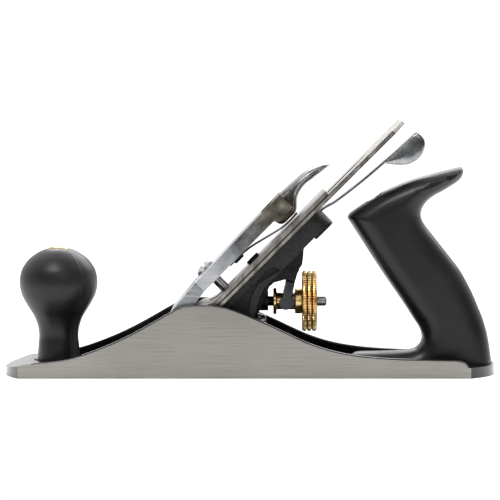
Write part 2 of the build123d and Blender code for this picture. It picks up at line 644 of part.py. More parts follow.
def make_adjusting_hub():
    bore = STUD_RADIUS + RUNNING_FIT
    groove = HUB_X + FLANGE_THICK
    collar = groove + CORE_LENGTH
    end = collar + COLLAR_LENGTH
    return turned_on_stud([
        (HUB_X, bore), (HUB_X, FLANGE_RADIUS - 0.4), (HUB_X + 0.4, FLANGE_RADIUS), (groove, FLANGE_RADIUS),
        (groove, CORE_RADIUS), (collar, CORE_RADIUS), (collar, COLLAR_RADIUS - 0.5),
        (collar + 0.5, COLLAR_RADIUS), (end, COLLAR_RADIUS), (end, bore),
    ])


def make_adjusting_wheel():
    """The finger wheel: three ridges round its rim and a shallow dish in its rear face."""
    bore = STUD_RADIUS + RUNNING_FIT
    front = HUB_X + FLANGE_THICK + CORE_LENGTH + COLLAR_LENGTH + WHEEL_GAP
    back = front + WHEEL_WIDTH
    ridge = WHEEL_WIDTH / 3
    points = [(front, bore), (front, COLLAR_RADIUS + 1.5), (front + 1.6, COLLAR_RADIUS + 3.0),
              (front + 1.6, WHEEL_RADIUS - 3.0), (front, WHEEL_RADIUS - 1.8), (front, WHEEL_RADIUS - 0.5)]
    for number in range(3):
        start = front + number * ridge
        points.append((start + 0.5, WHEEL_RADIUS))
        points.append((start + ridge - 0.5, WHEEL_RADIUS))
        if number < 2:
            points.append((start + ridge, WHEEL_RADIUS - WHEEL_GROOVE))
    points += [(back, WHEEL_RADIUS - 0.5), (back, WHEEL_RADIUS - 2.0), (back - 1.6, WHEEL_RADIUS - 3.5),
               (back - 1.6, COLLAR_RADIUS), (back, COLLAR_RADIUS - 1.5), (back, bore)]
    return turned_on_stud(points)


def lever_pin_rod(half_length, radius):
    return rod((LEVER_PIN_X, -half_length, LEVER_PIN_Z), (LEVER_PIN_X, half_length, LEVER_PIN_Z), radius)


def make_y_lever():
    """The yoke: a fork on the nut's groove, a pivot, and a tip that reaches into the cap iron."""
    pivot = Vector(LEVER_PIN_X, LEVER_PIN_Z)
    ball = Vector(BALL_X, BALL_Z)
    down = (ball - pivot).normalized()
    side = Vector(-down.Y, down.X)
    tip_low = bed_side(LEVER_TIP_S - LEVER_TIP_WIDTH / 2, LEVER_TIP_N)
    tip_high = bed_side(LEVER_TIP_S + LEVER_TIP_WIDTH / 2, LEVER_TIP_N)
    bridge = pivot + down * 7.0
    half = FORK_ARM / 2

    def at(point, offset):
        moved = point + side * offset
        return (moved.X, moved.Y)

    upper = polygon([tip_low, tip_high, (24.4, 56.0), at(pivot, 2.7), at(bridge + down * 3, half),
                     at(bridge + down * 3, -half), at(pivot, -2.7), (18.6, 54.6)])
    lever = across(Plane.XZ, upper, LEVER_HALF)
    lever += lever_pin_rod(LEVER_HALF, LEVER_EYE_RADIUS)
    cross = polygon([at(bridge, half), at(bridge + down * 3.2, half), at(bridge + down * 3.2, -half),
                     at(bridge, -half)])
    lever += across(Plane.XZ, cross, FORK_OUTER)
    arm = polygon([at(bridge, half), at(ball, half), at(ball, -half), at(bridge, -half)])
    lever += mirrored_pair(Plane.XZ, arm, FORK_INNER, FORK_OUTER)
    for inner, outer in ((FORK_INNER, FORK_OUTER), (-FORK_OUTER, -FORK_INNER)):
        lever += rod((BALL_X, inner, BALL_Z), (BALL_X, outer, BALL_Z), BALL_RADIUS)
    return lever - lever_pin_rod(FORK_OUTER, LEVER_PIN_RADIUS + RUNNING_FIT)


def make_y_lever_pin():
    return lever_pin_rod(LEVER_HALF + EAR_GAP + EAR_THICK, LEVER_PIN_RADIUS)


# ---- irons ----
def make_blade():
    half = IRON_WIDTH / 2
    shoulder = IRON_TOP_S - IRON_CORNER
    top_half = half - 1.4 * IRON_CORNER
    plan = polygon([
        (IRON_EDGE_S, -half), (shoulder, -half), (IRON_TOP_S, -top_half), (IRON_TOP_S, top_half),
        (shoulder, half), (IRON_EDGE_S, half),
    ])
    blade = between(BED_FACE, plan, 0, IRON_THICK)
    slot_radius = SLOT_WIDTH / 2
    blade -= slotted(BED_FACE, SLOT_LOW_S + slot_radius, SLOT_TOP_S - slot_radius, slot_radius, -1, 9)
    blade -= bed_rod(SLOT_LOW_S + SLOT_HOLE_RADIUS, -1, 9, SLOT_HOLE_RADIUS)
    bevel_end = IRON_EDGE_S + IRON_THICK / tan(radians(BEVEL_ANGLE))
    past = IRON_EDGE_S - 1
    bevel = polygon([(IRON_EDGE_S, IRON_THICK), (bevel_end, 0), (past, 0), (past, IRON_THICK)])
    return blade - across(BED_SIDE, bevel, half + 1)


def make_cap_iron():
    """Lies flat on the iron above its hump, and touches it again at its own edge."""
    low = IRON_THICK
    top = CAP_IRON_TOP_N
    crest = (HUMP_S, HUMP_HEIGHT)
    hollow = (HUMP_S, HUMP_HEIGHT - CAP_IRON_THICK)
    foot = HUMP_FOOT_S
    edge = CAP_IRON_EDGE_S
    side = outline(
        Line((CAP_IRON_TOP_S, low), (CAP_IRON_TOP_S, top)),
        Line((CAP_IRON_TOP_S, top), (foot, top)),
        Spline((foot, top), (foot - 7, HUMP_HEIGHT - 1.7), crest, tangents=[(-1, 0.15), (-1, 0)]),
        Spline(crest, (7.5, 6.3), (edge, low + 0.7), tangents=[(-1, 0), (-0.8, -1)]),
        Line((edge, low + 0.7), (edge, low)),
        Line((edge, low), (edge + 1.6, low)),
        Spline((edge + 1.6, low), (9.5, 4.9), hollow, tangents=[(1, 0.7), (1, 0)]),
        Spline(hollow, (foot - 7.5, HUMP_HEIGHT - 4.0), (foot - 1, low), tangents=[(1, 0), (1, -0.15)]),
        Line((foot - 1, low), (CAP_IRON_TOP_S, low)),
    )
    cap = across(BED_SIDE, side, IRON_WIDTH / 2)
    slot_low = LEVER_CAP_SCREW_S - LEVER_CAP_SCREW_HEAD + IRON_TRAVEL[0] + 2
    cap -= slotted(BED_FACE, slot_low, CAP_SLOT_TOP_S - SLOT_WIDTH / 2, SLOT_WIDTH / 2, 1, 12)
    cap -= bed_rod(CAP_SCREW_S, 0, 12, CAP_SCREW_RADIUS + RUNNING_FIT)
    window = Pos(LEVER_TIP_S, 0) * Rectangle(LEVER_TIP_WIDTH + 2 * TIP_GAP, 2 * (LEVER_HALF + 1.2))
    return cap - between(BED_FACE, window, 0, 12)


def make_cap_iron_screw():
    under = -SLIDE_GAP
    low = under - CAP_SCREW_HEAD_HEIGHT
    screw = bed_rod(CAP_SCREW_S, low, under, CAP_SCREW_HEAD)
    screw += bed_rod(CAP_SCREW_S, under, CAP_IRON_TOP_N + CAP_SCREW_STANDS, CAP_SCREW_RADIUS)
    return screw - driver_slot(bed_point(CAP_SCREW_S, low), OUT_OF_BED, (0, 1, 0), CAP_SCREW_HEAD)


# ---- lateral adjustment ----
def make_lateral_lever():
    """A flat strip on its pivot, cranked back past the frog, with a folded thumb piece."""
    top = -LATERAL_DEPTH
    low = top - LATERAL_THICK
    half = LATERAL_WIDTH / 2
    upper = [(FROG_LENGTH, top), (127.6, -3.6), (158.6, -6.8), (PADDLE_END_S, -7.8)]
    lower = [(s, n - LATERAL_THICK) for s, n in reversed(upper)]
    strip = across(BED_SIDE, polygon([(ROLLER_S, top)] + upper + lower + [(ROLLER_S, low)]), half)
    lever = strip + bed_rod(ROLLER_S, low, top, half)
    paddle = polygon([(PADDLE_S, -7.0), (PADDLE_END_S, -7.8), (PADDLE_END_S, -7.8 - LATERAL_THICK),
                      (PADDLE_S, -7.0 - LATERAL_THICK)])
    lever += across(BED_SIDE, paddle, PADDLE_HALF_WIDTH)
    ear = outline(
        Line((PADDLE_S, -7.4), (PADDLE_END_S, -8.2)),
        Spline((PADDLE_END_S, -8.2), (179.2, -15.4), (172.5, -7.4 - PADDLE_EAR_DROP), (164.2, -14.2),
               (PADDLE_S, -7.4)),
    )
    lever += mirrored_pair(BED_SIDE, ear, PADDLE_HALF_WIDTH - LATERAL_THICK, PADDLE_HALF_WIDTH)
    lever -= bed_rod(LATERAL_PIVOT_S, low - 1, top + 1, LATERAL_PIN_RADIUS + RUNNING_FIT)
    return lever - bed_rod(ROLLER_S, low - 1, top + 1, LATERAL_PIN_RADIUS + THREAD_FIT)


def make_lateral_pivot():
    """The rivet that the lever swings on, riveted flush with the lever."""
    return bed_rod(LATERAL_PIVOT_S, -FROG_PLATE, -LATERAL_DEPTH, LATERAL_PIN_RADIUS)


def make_roller_pin():
    low = -LATERAL_DEPTH - LATERAL_THICK
    return bed_rod(ROLLER_S, low, IRON_THICK - 0.2, LATERAL_PIN_RADIUS)


def make_lateral_roller():
    low = -LATERAL_DEPTH + SLIDE_GAP
    roller = bed_rod(ROLLER_S, low, low + ROLLER_THICK, ROLLER_RADIUS)
    return roller - bed_rod(ROLLER_S, low - 1, low + ROLLER_THICK + 1, LATERAL_PIN_RADIUS + RUNNING_FIT)


# ---- lever cap ----
def lever_cap_plan(inset, low_s):
    """The cap's plan: square below the knee, drawn in above it to the cam."""
    wide = LEVER_CAP_WIDTH / 2 - inset
    narrow = LEVER_CAP_TOP_HALF - inset
    knee = (LEVER_CAP_KNEE_S, wide)
    waist = (LEVER_CAP_WAIST_S, narrow + 2.6)
    end = (LEVER_CAP_TOP_S, narrow)
    half = outline(
        Line((low_s, 0), (low_s, wide)),
        Line((low_s, wide), knee),
        Spline(knee, waist, end, tangents=[(1, -0.25), (1, 0)]),
        Line(end, (LEVER_CAP_TOP_S, 0)),
        Line((LEVER_CAP_TOP_S, 0), (low_s, 0)),
    )
    return half + mirror(half, about=Plane.XZ)


def make_lever_cap():
    lip = HUMP_HEIGHT + LIP_GAP
    outer_side = polygon([
        (LEVER_CAP_LIP_S, lip), (HUMP_S + 2, lip), (39.6, 10.5), (LEVER_CAP_KNEE_S, LEVER_CAP_LOW_N),
        (LEVER_CAP_TOP_S - 12, LEVER_CAP_LOW_N), (LEVER_CAP_TOP_S - 8, 9.8), (LEVER_CAP_TOP_S, 9.8),
        (LEVER_CAP_TOP_S, LEVER_CAP_TOP_N), (LEVER_CAP_KNEE_S, LEVER_CAP_KNEE_N), (30.4, 16.3),
        (LEVER_CAP_LIP_S, lip + 1.2),
    ])
    cap = between(BED_FACE, lever_cap_plan(0, LEVER_CAP_LIP_S), 0, 40) & across(BED_SIDE, outer_side, 40)
    wall = LEVER_CAP_WALL
    past = LEVER_CAP_TOP_S + 1
    inner_side = polygon([
        (LEVER_CAP_HOLLOW_S, 5), (LEVER_CAP_HOLLOW_S, 13.0), (LEVER_CAP_KNEE_S, LEVER_CAP_KNEE_N - wall),
        (past, LEVER_CAP_TOP_N - wall), (past, 5),
    ])
    plan = lever_cap_plan(wall, LEVER_CAP_HOLLOW_S)
    cap -= between(BED_FACE, plan, 0, 40) & across(BED_SIDE, inner_side, 40)
    window_length = LEVER_CAP_TOP_S + 4 - CAM_WINDOW_S
    window = Rectangle(window_length, 2 * (CAM_HALF_WIDTH + CAM_GAP))
    cap -= between(BED_FACE, Pos(CAM_WINDOW_S + window_length / 2, 0) * window, 0, 40)
    cap += bed_rod(SPRING_RIVET_S, SPRING_SEAT_N, LEVER_CAP_KNEE_N - 2, 4.6)

    # the keyhole: its narrow end holds the screw, and its round end lets the head through
    round_end = LEVER_CAP_SCREW_S - LEVER_CAP_TRAVEL
    cap -= bed_rod(round_end, 5, 30, LEVER_CAP_SCREW_HEAD + 0.5)
    cap -= slotted(BED_FACE, round_end, LEVER_CAP_SCREW_S, LEVER_CAP_SCREW_RADIUS + 0.35, 5, 30)
    cap -= cam_pin_rod(LEVER_CAP_WIDTH, CAM_PIN_RADIUS + THREAD_FIT)
    return cap - bed_rod(SPRING_RIVET_S, SPRING_SEAT_N - 1, SPRING_RIVET_TOP + HOLE_END,
                         SPRING_RIVET_RADIUS + THREAD_FIT)


def cam_pin_rod(half_length, radius):
    """A bar on the cam's axis, across the plane."""
    return rod(bed_point(CAM_PIN_S, CAM_PIN_N, -half_length), bed_point(CAM_PIN_S, CAM_PIN_N, half_length),
               radius)


def make_lever_cap_screw():
    """Its domed head bears on the lever cap's face."""
    seat = LEVER_CAP_KNEE_N + 0.35
    head = bed_rod(LEVER_CAP_SCREW_S, seat, LEVER_CAP_SCREW_TOP, LEVER_CAP_SCREW_HEAD)
    dome_centre = bed_point(LEVER_CAP_SCREW_S, LEVER_CAP_SCREW_TOP - LEVER_CAP_SCREW_DOME)
    head &= Pos(*dome_centre) * Sphere(LEVER_CAP_SCREW_DOME)
    screw = head + bed_rod(LEVER_CAP_SCREW_S, -LEVER_CAP_SCREW_DEPTH, seat, LEVER_CAP_SCREW_RADIUS)
    return screw - driver_slot(bed_point(LEVER_CAP_SCREW_S, LEVER_CAP_SCREW_TOP), OUT_OF_BED, (0, 1, 0),
                               LEVER_CAP_SCREW_HEAD, depth=1.5)


def make_lever_cap_spring():
    """A leaf riveted under the cap, for the cam to bear on."""
    top = SPRING_SEAT_N
    thick = SPRING_THICK
    upper = Spline((76.5, top), (88, 9.1), (99, 6.2), (109.5, 6.0), tangents=[(1, 0), (1, 0.12)])
    lower = Spline((109.5, 6.0 - thick), (99, 6.2 - thick), (88, 9.1 - thick), (76.5, top - thick),
                   tangents=[(-1, -0.12), (-1, 0)])
    side = outline(
        Line((66.5, top), (76.5, top)), upper, Line((109.5, 6.0), (109.5, 6.0 - thick)), lower,
        Line((76.5, top - thick), (66.5, top - thick)), Line((66.5, top - thick), (66.5, top)),
    )
    spring = across(BED_SIDE, side, SPRING_HALF_WIDTH)
    return spring - bed_rod(SPRING_RIVET_S, top - 3, top + 1, SPRING_RIVET_RADIUS + 0.05)


def make_spring_rivet():
    low = SPRING_SEAT_N - SPRING_THICK
    rivet = bed_rod(SPRING_RIVET_S, low - 0.9, low, SPRING_RIVET_RADIUS + 1.3)
    return rivet + bed_rod(SPRING_RIVET_S, low, SPRING_RIVET_TOP, SPRING_RIVET_RADIUS)


def make_cam_pin():
    return cam_pin_rod(LEVER_CAP_TOP_HALF - 0.1, CAM_PIN_RADIUS)


def make_cam_lever():
    """The cam's flat bears over the spring when the lever is down on the iron."""
    side = outline(
        Line((101.3, 6.8), (109.0, 6.8)),
        Spline((109.0, 6.8), (112.7, 9.4), (116.3, 12.0), (122.6, 13.3), tangents=[(1, 0.3), (1, 0)]),
        Spline((122.6, 13.3), (133.9, 11.9), (138.5, 11.4), tangents=[(1, 0), (1, 0)]),
        Spline((138.5, 11.4), (136.4, 14.4), (129.9, 17.4), (115.4, 18.7), tangents=[(0, 1), (-1, 0.02)]),
        Line((115.4, 18.7), (102.0, 18.6)),
        Spline((102.0, 18.6), (99.6, 16.2), (98.7, 11.0), (101.3, 6.8), tangents=[(-1, -0.2), (1, -0.4)]),
    )
    return across(BED_SIDE, side, CAM_HALF_WIDTH) - cam_pin_rod(LEVER_CAP_WIDTH, CAM_PIN_RADIUS + RUNNING_FIT)


PIECES = {
    "plane_body": make_plane_body,
    "front_knob": make_front_knob,
    "knob_stud": make_knob_stud,
    "knob_nut": make_knob_nut,
    "tote": make_tote,
    "tote_rod": make_tote_rod,
    "tote_nut": make_tote_nut,
    "frog": make_frog,
    "frog_screws": make_frog_screws,
    "frog_washers": make_frog_washers,
    "frog_clip": make_frog_clip,
    "frog_clip_screw": make_frog_clip_screw,
    "frog_adjust_screw": make_frog_adjust_screw,
    "adjust_stud": make_adjust_stud,
    "adjusting_hub": make_adjusting_hub,
    "adjusting_wheel": make_adjusting_wheel,
    "y_lever": make_y_lever,
    "y_lever_pin": make_y_lever_pin,
    "blade": make_blade,
    "cap_iron": make_cap_iron,
    "cap_iron_screw": make_cap_iron_screw,
    "lateral_lever": make_lateral_lever,
    "lateral_pivot": make_lateral_pivot,
    "roller_pin": make_roller_pin,
    "lateral_roller": make_lateral_roller,
    "lever_cap": make_lever_cap,
    "lever_cap_screw": make_lever_cap_screw,
    "lever_cap_spring": make_lever_cap_spring,
    "spring_rivet": make_spring_rivet,
    "cam_pin": make_cam_pin,
    "cam_lever": make_cam_lever,
}


def main():
    os.makedirs("parts", exist_ok=True)
    for name, make in PIECES.items():
        made = make()
        solids = made if isinstance(made, list) else [made]
        solids = [solid for piece in solids for solid in piece.solids()]
        shape = solids[0] if len(solids) == 1 else Compound(children=solids)
        export_step(shape, f"parts/{name}.step")
        print(f"{name}: {len(solids)} solid(s), {sum(solid.volume for solid in solids):.0f} mm3")


main()
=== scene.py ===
"""The looks of the hand plane: its materials, its finer meshes and the studio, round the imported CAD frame."""
from math import cos, pi, radians, sin, sqrt

import bmesh
import bpy
import numpy as np
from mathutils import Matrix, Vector
from mathutils.geometry import delaunay_2d_cdt


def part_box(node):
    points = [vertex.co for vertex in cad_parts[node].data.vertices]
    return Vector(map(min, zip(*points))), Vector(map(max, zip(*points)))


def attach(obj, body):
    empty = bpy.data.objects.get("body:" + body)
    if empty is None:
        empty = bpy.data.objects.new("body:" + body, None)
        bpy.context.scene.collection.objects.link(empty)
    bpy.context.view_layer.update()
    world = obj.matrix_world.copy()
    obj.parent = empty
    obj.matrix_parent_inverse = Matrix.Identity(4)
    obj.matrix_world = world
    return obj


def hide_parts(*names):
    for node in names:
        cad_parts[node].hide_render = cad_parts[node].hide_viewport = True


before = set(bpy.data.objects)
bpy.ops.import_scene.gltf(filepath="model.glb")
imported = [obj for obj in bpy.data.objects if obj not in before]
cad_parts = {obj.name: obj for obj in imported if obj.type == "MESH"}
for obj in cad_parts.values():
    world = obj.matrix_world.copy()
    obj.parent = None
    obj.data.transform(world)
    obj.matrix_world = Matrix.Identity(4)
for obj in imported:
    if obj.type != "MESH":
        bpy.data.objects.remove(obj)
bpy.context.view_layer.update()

MM = 0.001
scene = bpy.context.scene

VIEWER_SIDE_LIGHT = 0.17
OVERHEAD_LIGHT = 0.4
FLOOR_FRONT = -0.45
FLOOR_BACK = 5.95
FLOOR_WIDTH = 12.0

# ---- the bed's own directions, as in the CAD: s up the bed, n out of it ----
BED_X = -49.36 * MM
UP_BED = Vector((sqrt(0.5), 0, sqrt(0.5)))
OUT_OF_BED = Vector((-sqrt(0.5), 0, sqrt(0.5)))


def bed(s, n, y=0.0):
    """A point given in millimetres on the bed's own axes."""
    return Vector((BED_X, 0, 0)) + UP_BED * s * MM + OUT_OF_BED * n * MM + Vector((0, y * MM, 0))


# ---- camera, floor and lights ----
def add_camera():
    data = bpy.data.cameras.new("camera")
    data.lens = 216.6
    data.sensor_width = 36.0
    data.clip_end = 50.0
    camera = bpy.data.objects.new("camera", data)
    scene.collection.objects.link(camera)
    camera.location = (0.0, -1.525, 0.1435)
    camera.rotation_euler = (radians(90 - 3.04), 0, 0)
    scene.camera = camera


def add_area_light(name, place, target, size, power):
    data = bpy.data.lights.new(name, "AREA")
    data.shape = "RECTANGLE"
    data.size, data.size_y = size
    data.energy = power
    light = bpy.data.objects.new(name, data)
    scene.collection.objects.link(light)
    light.location = place
    light.rotation_euler = (Vector(target) - Vector(place)).to_track_quat("-Z", "Y").to_euler()


def add_world():
    """A room dim at the front, so that black surfaces stay black; seen directly, it is white all round."""
    world = bpy.data.worlds.new("studio")
    world.use_nodes = True
    tree = world.node_tree
    background = tree.nodes["Background"]
    split = tree.nodes.new("ShaderNodeSeparateXYZ")
    tree.links.new(tree.nodes.new("ShaderNodeTexCoord").outputs["Generated"], split.inputs[0])

    def rise(axis, low, high, to_low, to_high):
        span = tree.nodes.new("ShaderNodeMapRange")
        for socket, number in zip(span.inputs[1:5], (low, high, to_low, to_high)):
            socket.default_value = number
        tree.links.new(split.outputs[axis], span.inputs[0])
        return span.outputs[0]

    level = tree.nodes.new("ShaderNodeMath")
    tree.links.new(rise("Y", -0.35, 0.45, VIEWER_SIDE_LIGHT, 1.0), level.inputs[0])
    tree.links.new(rise("Z", 0.15, 0.9, 0.0, OVERHEAD_LIGHT), level.inputs[1])
    seen = tree.nodes.new("ShaderNodeMix")
    tree.links.new(tree.nodes.new("ShaderNodeLightPath").outputs["Is Camera Ray"], seen.inputs[0])
    tree.links.new(level.outputs[0], seen.inputs[2])
    seen.inputs[3].default_value = 1.05
    tree.links.new(seen.outputs[0], background.inputs["Strength"])
    background.inputs["Color"].default_value = (1, 1, 1, 1)
    scene.world = world


def add_floor():
    """A plain pale floor, a little bright in itself so that it runs into the white behind."""
    bpy.ops.mesh.primitive_plane_add(size=1.0, location=(0, (FLOOR_FRONT + FLOOR_BACK) / 2, 0))
    floor = bpy.context.object
    floor.scale = (FLOOR_WIDTH, FLOOR_BACK - FLOOR_FRONT, 1.0)
    floor.name = "floor"
    paint = bpy.data.materials.new("pale_floor")
    paint.use_nodes = True
    shader = paint.node_tree.nodes["Principled BSDF"]
    shader.inputs["Base Color"].default_value = (0.88, 0.88, 0.88, 1)
    shader.inputs["Roughness"].default_value = 1.0
    shader.inputs["Specular IOR Level"].default_value = 0.0
    shader.inputs["Emission Color"].default_value = (1, 1, 1, 1)
    shader.inputs["Emission Strength"].default_value = 0.42
    floor.data.materials.append(paint)


def add_studio():
    add_world()
    add_floor()
    add_area_light("key", (-0.35, -0.75, 1.15), (0, 0, 0.05), (0.55, 0.4), 7.5)
    add_area_light("front", (0.3, -1.5, 0.75), (0, 0, 0.05), (1.0, 0.3), 1.3)
    add_area_light("back", (0.3, 0.9, 0.8), (0, 0, 0.05), (1.4, 0.6), 8.0)


# ---- materials ----
class Recipe:
    """A node material with a few short ways to add nodes."""

    def __init__(self, name, metallic=0.0, roughness=0.4):
        self.material = bpy.data.materials.new(name)
        self.material.use_nodes = True
        self.tree = self.material.node_tree
        self.shader = self.tree.nodes["Principled BSDF"]
        self.shader.inputs["Metallic"].default_value = metallic
        self.shader.inputs["Roughness"].default_value = roughness
        self.coordinates = self.tree.nodes.new("ShaderNodeTexCoord")

    def link(self, source, target):
        self.tree.links.new(source, target)

    def node(self, kind, **settings):
        made = self.tree.nodes.new(kind)
        for key, value in settings.items():
            setattr(made, key, value)
        return made

    def math(self, operation, first, second=None):
        made = self.node("ShaderNodeMath", operation=operation)
        for socket, value in zip(made.inputs, (first, second)):
            if value is None:
                continue
            if isinstance(value, (int, float)):
                socket.default_value = value
            else:
                self.link(value, socket)
        return made.outputs[0]

    def noise(self, scale, detail=4.0, roughness=0.5, stretch=(1, 1, 1), turn=0.0):
        """Noise over the piece's own coordinates; scale is per metre."""
        mapping = self.node("ShaderNodeMapping")
        mapping.inputs["Scale"].default_value = stretch
        mapping.inputs["Rotation"].default_value = (0, turn, 0)
        self.link(self.coordinates.outputs["Object"], mapping.inputs["Vector"])
        made = self.node("ShaderNodeTexNoise")
        made.inputs["Scale"].default_value = scale
        made.inputs["Detail"].default_value = detail
        made.inputs["Roughness"].default_value = roughness
        self.link(mapping.outputs[0], made.inputs["Vector"])
        return made.outputs["Fac"]

    def ramp(self, value, stops):
        made = self.node("ShaderNodeValToRGB")
        ramp = made.color_ramp
        while len(ramp.elements) < len(stops):
            ramp.elements.new(0.5)
        for element, (place, colour) in zip(ramp.elements, stops):
            element.position = place
            element.color = (*colour, 1)
        self.link(value, made.inputs["Fac"])
        return made.outputs["Color"]

    def mix(self, factor, first, second):
        made = self.node("ShaderNodeMix", data_type="RGBA")
        for socket, value in ((made.inputs[0], factor), (made.inputs[6], first), (made.inputs[7], second)):
            if isinstance(value, (int, float)):
                socket.default_value = value
            elif isinstance(value, tuple):
                socket.default_value = (*value, 1)
            else:
                self.link(value, socket)
        return made.outputs[2]

    def span(self, value, low, high, to_low=0.0, to_high=1.0):
        made = self.node("ShaderNodeMapRange")
        for socket, number in zip(made.inputs[1:5], (low, high, to_low, to_high)):
            socket.default_value = number
        self.link(value, made.inputs[0])
        return made.outputs[0]

    def along(self, direction, offset=0.0):
        """A distance in metres along a direction of the piece's own space."""
        made = self.node("ShaderNodeVectorMath", operation="DOT_PRODUCT")
        made.inputs[1].default_value = direction
        self.link(self.coordinates.outputs["Object"], made.inputs[0])
        return self.math("ADD", made.outputs["Value"], offset)

    def facing(self, direction):
        """How far the surface faces a direction of the piece's own space."""
        made = self.node("ShaderNodeVectorMath", operation="DOT_PRODUCT")
        made.inputs[1].default_value = direction
        self.link(self.coordinates.outputs["Normal"], made.inputs[0])
        return made.outputs["Value"]

    def colour(self, source):
        self.link(source, self.shader.inputs["Base Color"])

    def rough(self, source):
        self.link(source, self.shader.inputs["Roughness"])

    def bump(self, height, distance, strength=1.0):
        made = self.node("ShaderNodeBump")
        made.inputs["Distance"].default_value = distance
        made.inputs["Strength"].default_value = strength
        self.link(height, made.inputs["Height"])
        self.link(made.outputs[0], self.shader.inputs["Normal"])


def ground_colour(recipe, light, dark, stretch, turn=0.0):
    """Fine brush streaks with a slow drift in tone."""
    streak = recipe.noise(60.0, 6.0, 0.7, stretch, turn)
    drift = recipe.noise(22.0, 3.0, 0.5)
    tone = recipe.math("ADD", recipe.math("MULTIPLY", streak, 0.75), recipe.math("MULTIPLY", drift, 0.25))
    return recipe.ramp(tone, [(0.34, dark), (0.62, light)]), streak


def body_material():
    """Ground iron on the sides and the sole; black enamel everywhere else."""
    recipe = Recipe("body_iron", 1.0, 0.34)
    ground, streak = ground_colour(recipe, (0.40, 0.382, 0.355), (0.26, 0.246, 0.228), (0.5, 1, 44))
    side = recipe.math("ABSOLUTE", recipe.facing((0, 1, 0)))
    side = recipe.math("GREATER_THAN", side, 0.96)
    reach = recipe.math("ABSOLUTE", recipe.along((0, 1, 0)))
    side = recipe.math("MULTIPLY", side, recipe.math("GREATER_THAN", reach, 0.0314))
    under = recipe.math("LESS_THAN", recipe.facing((0, 0, 1)), -0.9)
    under = recipe.math("MULTIPLY", under, recipe.math("LESS_THAN", recipe.along((0, 0, 1)), 0.0002))
    bare = recipe.math("MAXIMUM", side, under)
    specks = recipe.noise(900.0, 3.0, 0.6)
    enamel = recipe.ramp(specks, [(0.35, (0.006, 0.006, 0.006)), (0.75, (0.014, 0.014, 0.015))])
    recipe.colour(recipe.mix(bare, enamel, ground))
    recipe.link(bare, recipe.shader.inputs["Metallic"])
    enamel_rough = recipe.span(specks, 0.3, 0.7, 0.10, 0.18)
    ground_rough = recipe.span(streak, 0.3, 0.7, 0.30, 0.44)
    recipe.rough(recipe.math("ADD", recipe.math("MULTIPLY", bare, ground_rough),
                             recipe.math("MULTIPLY", recipe.math("SUBTRACT", 1.0, bare), enamel_rough)))
    peel = recipe.noise(260.0, 2.0, 0.5)
    height = recipe.math("ADD", recipe.math("MULTIPLY", streak, bare), recipe.math("MULTIPLY", peel, 0.8))
    recipe.bump(height, 0.00006, 0.5)
    return recipe.material


def cast_material():
    """Enamel over a rough casting, its brightest grains painted glints; the rib faces a little paler than the
    hollows between them, partly wear on the rib faces and partly painted shade in the hollows.
    """
    recipe = Recipe("frog_enamel", 0.0, 0.3)
    recipe.shader.inputs["Specular IOR Level"].default_value = 0.3
    grain = recipe.noise(1300.0, 5.0, 0.7)
    lumps = recipe.noise(260.0, 3.0, 0.6)
    # Painted glints: the top stop of each ramp. The hollow ramp is darker than the rib ramp as painted shade in
    # the hollows.
    hollow = recipe.ramp(grain, [(0.3, (0.002, 0.002, 0.002)), (0.6, (0.006, 0.0055, 0.005)),
                                 (0.72, (0.07, 0.062, 0.05))])
    rib = recipe.ramp(grain, [(0.3, (0.009, 0.009, 0.01)), (0.62, (0.02, 0.02, 0.022)),
                              (0.76, (0.11, 0.11, 0.11))])
    # The rib faces take the paler ramp: partly wear on the rib faces, partly the painted shade left in the
    # hollows.
    reach = recipe.math("ABSOLUTE", recipe.along((0, 1, 0)))
    outer = recipe.span(reach, FROG_HALF - 0.0012, FROG_HALF - 0.0004)
    recipe.colour(recipe.mix(outer, hollow, rib))
    recipe.rough(recipe.span(lumps, 0.35, 0.65, 0.24, 0.46))
    recipe.bump(recipe.math("ADD", grain, recipe.math("MULTIPLY", lumps, 1.6)), 0.0003, 0.9)
    return recipe.material


def plastic_material(name, roughness):
    recipe = Recipe(name, 0.0, roughness)
    cloud = recipe.noise(45.0, 4.0, 0.55)
    fine = recipe.noise(2400.0, 2.0, 0.5)
    recipe.shader.inputs["Specular IOR Level"].default_value = 0.4
    recipe.colour(recipe.ramp(cloud, [(0.3, (0.005, 0.0052, 0.0062)), (0.7, (0.010, 0.0104, 0.012))]))
    recipe.rough(recipe.span(cloud, 0.3, 0.7, roughness - 0.05, roughness + 0.06))
    recipe.bump(fine, 0.00002, 0.35)
    return recipe.material


def metal_material(name, light, dark, roughness, stretch=(1, 1, 1), turn=0.0):
    recipe = Recipe(name, 1.0, roughness)
    colour, streak = ground_colour(recipe, light, dark, stretch, turn)
    recipe.colour(colour)
    recipe.rough(recipe.span(streak, 0.3, 0.7, roughness - 0.06, roughness + 0.1))
    recipe.bump(streak, 0.00003, 0.4)
    return recipe.material


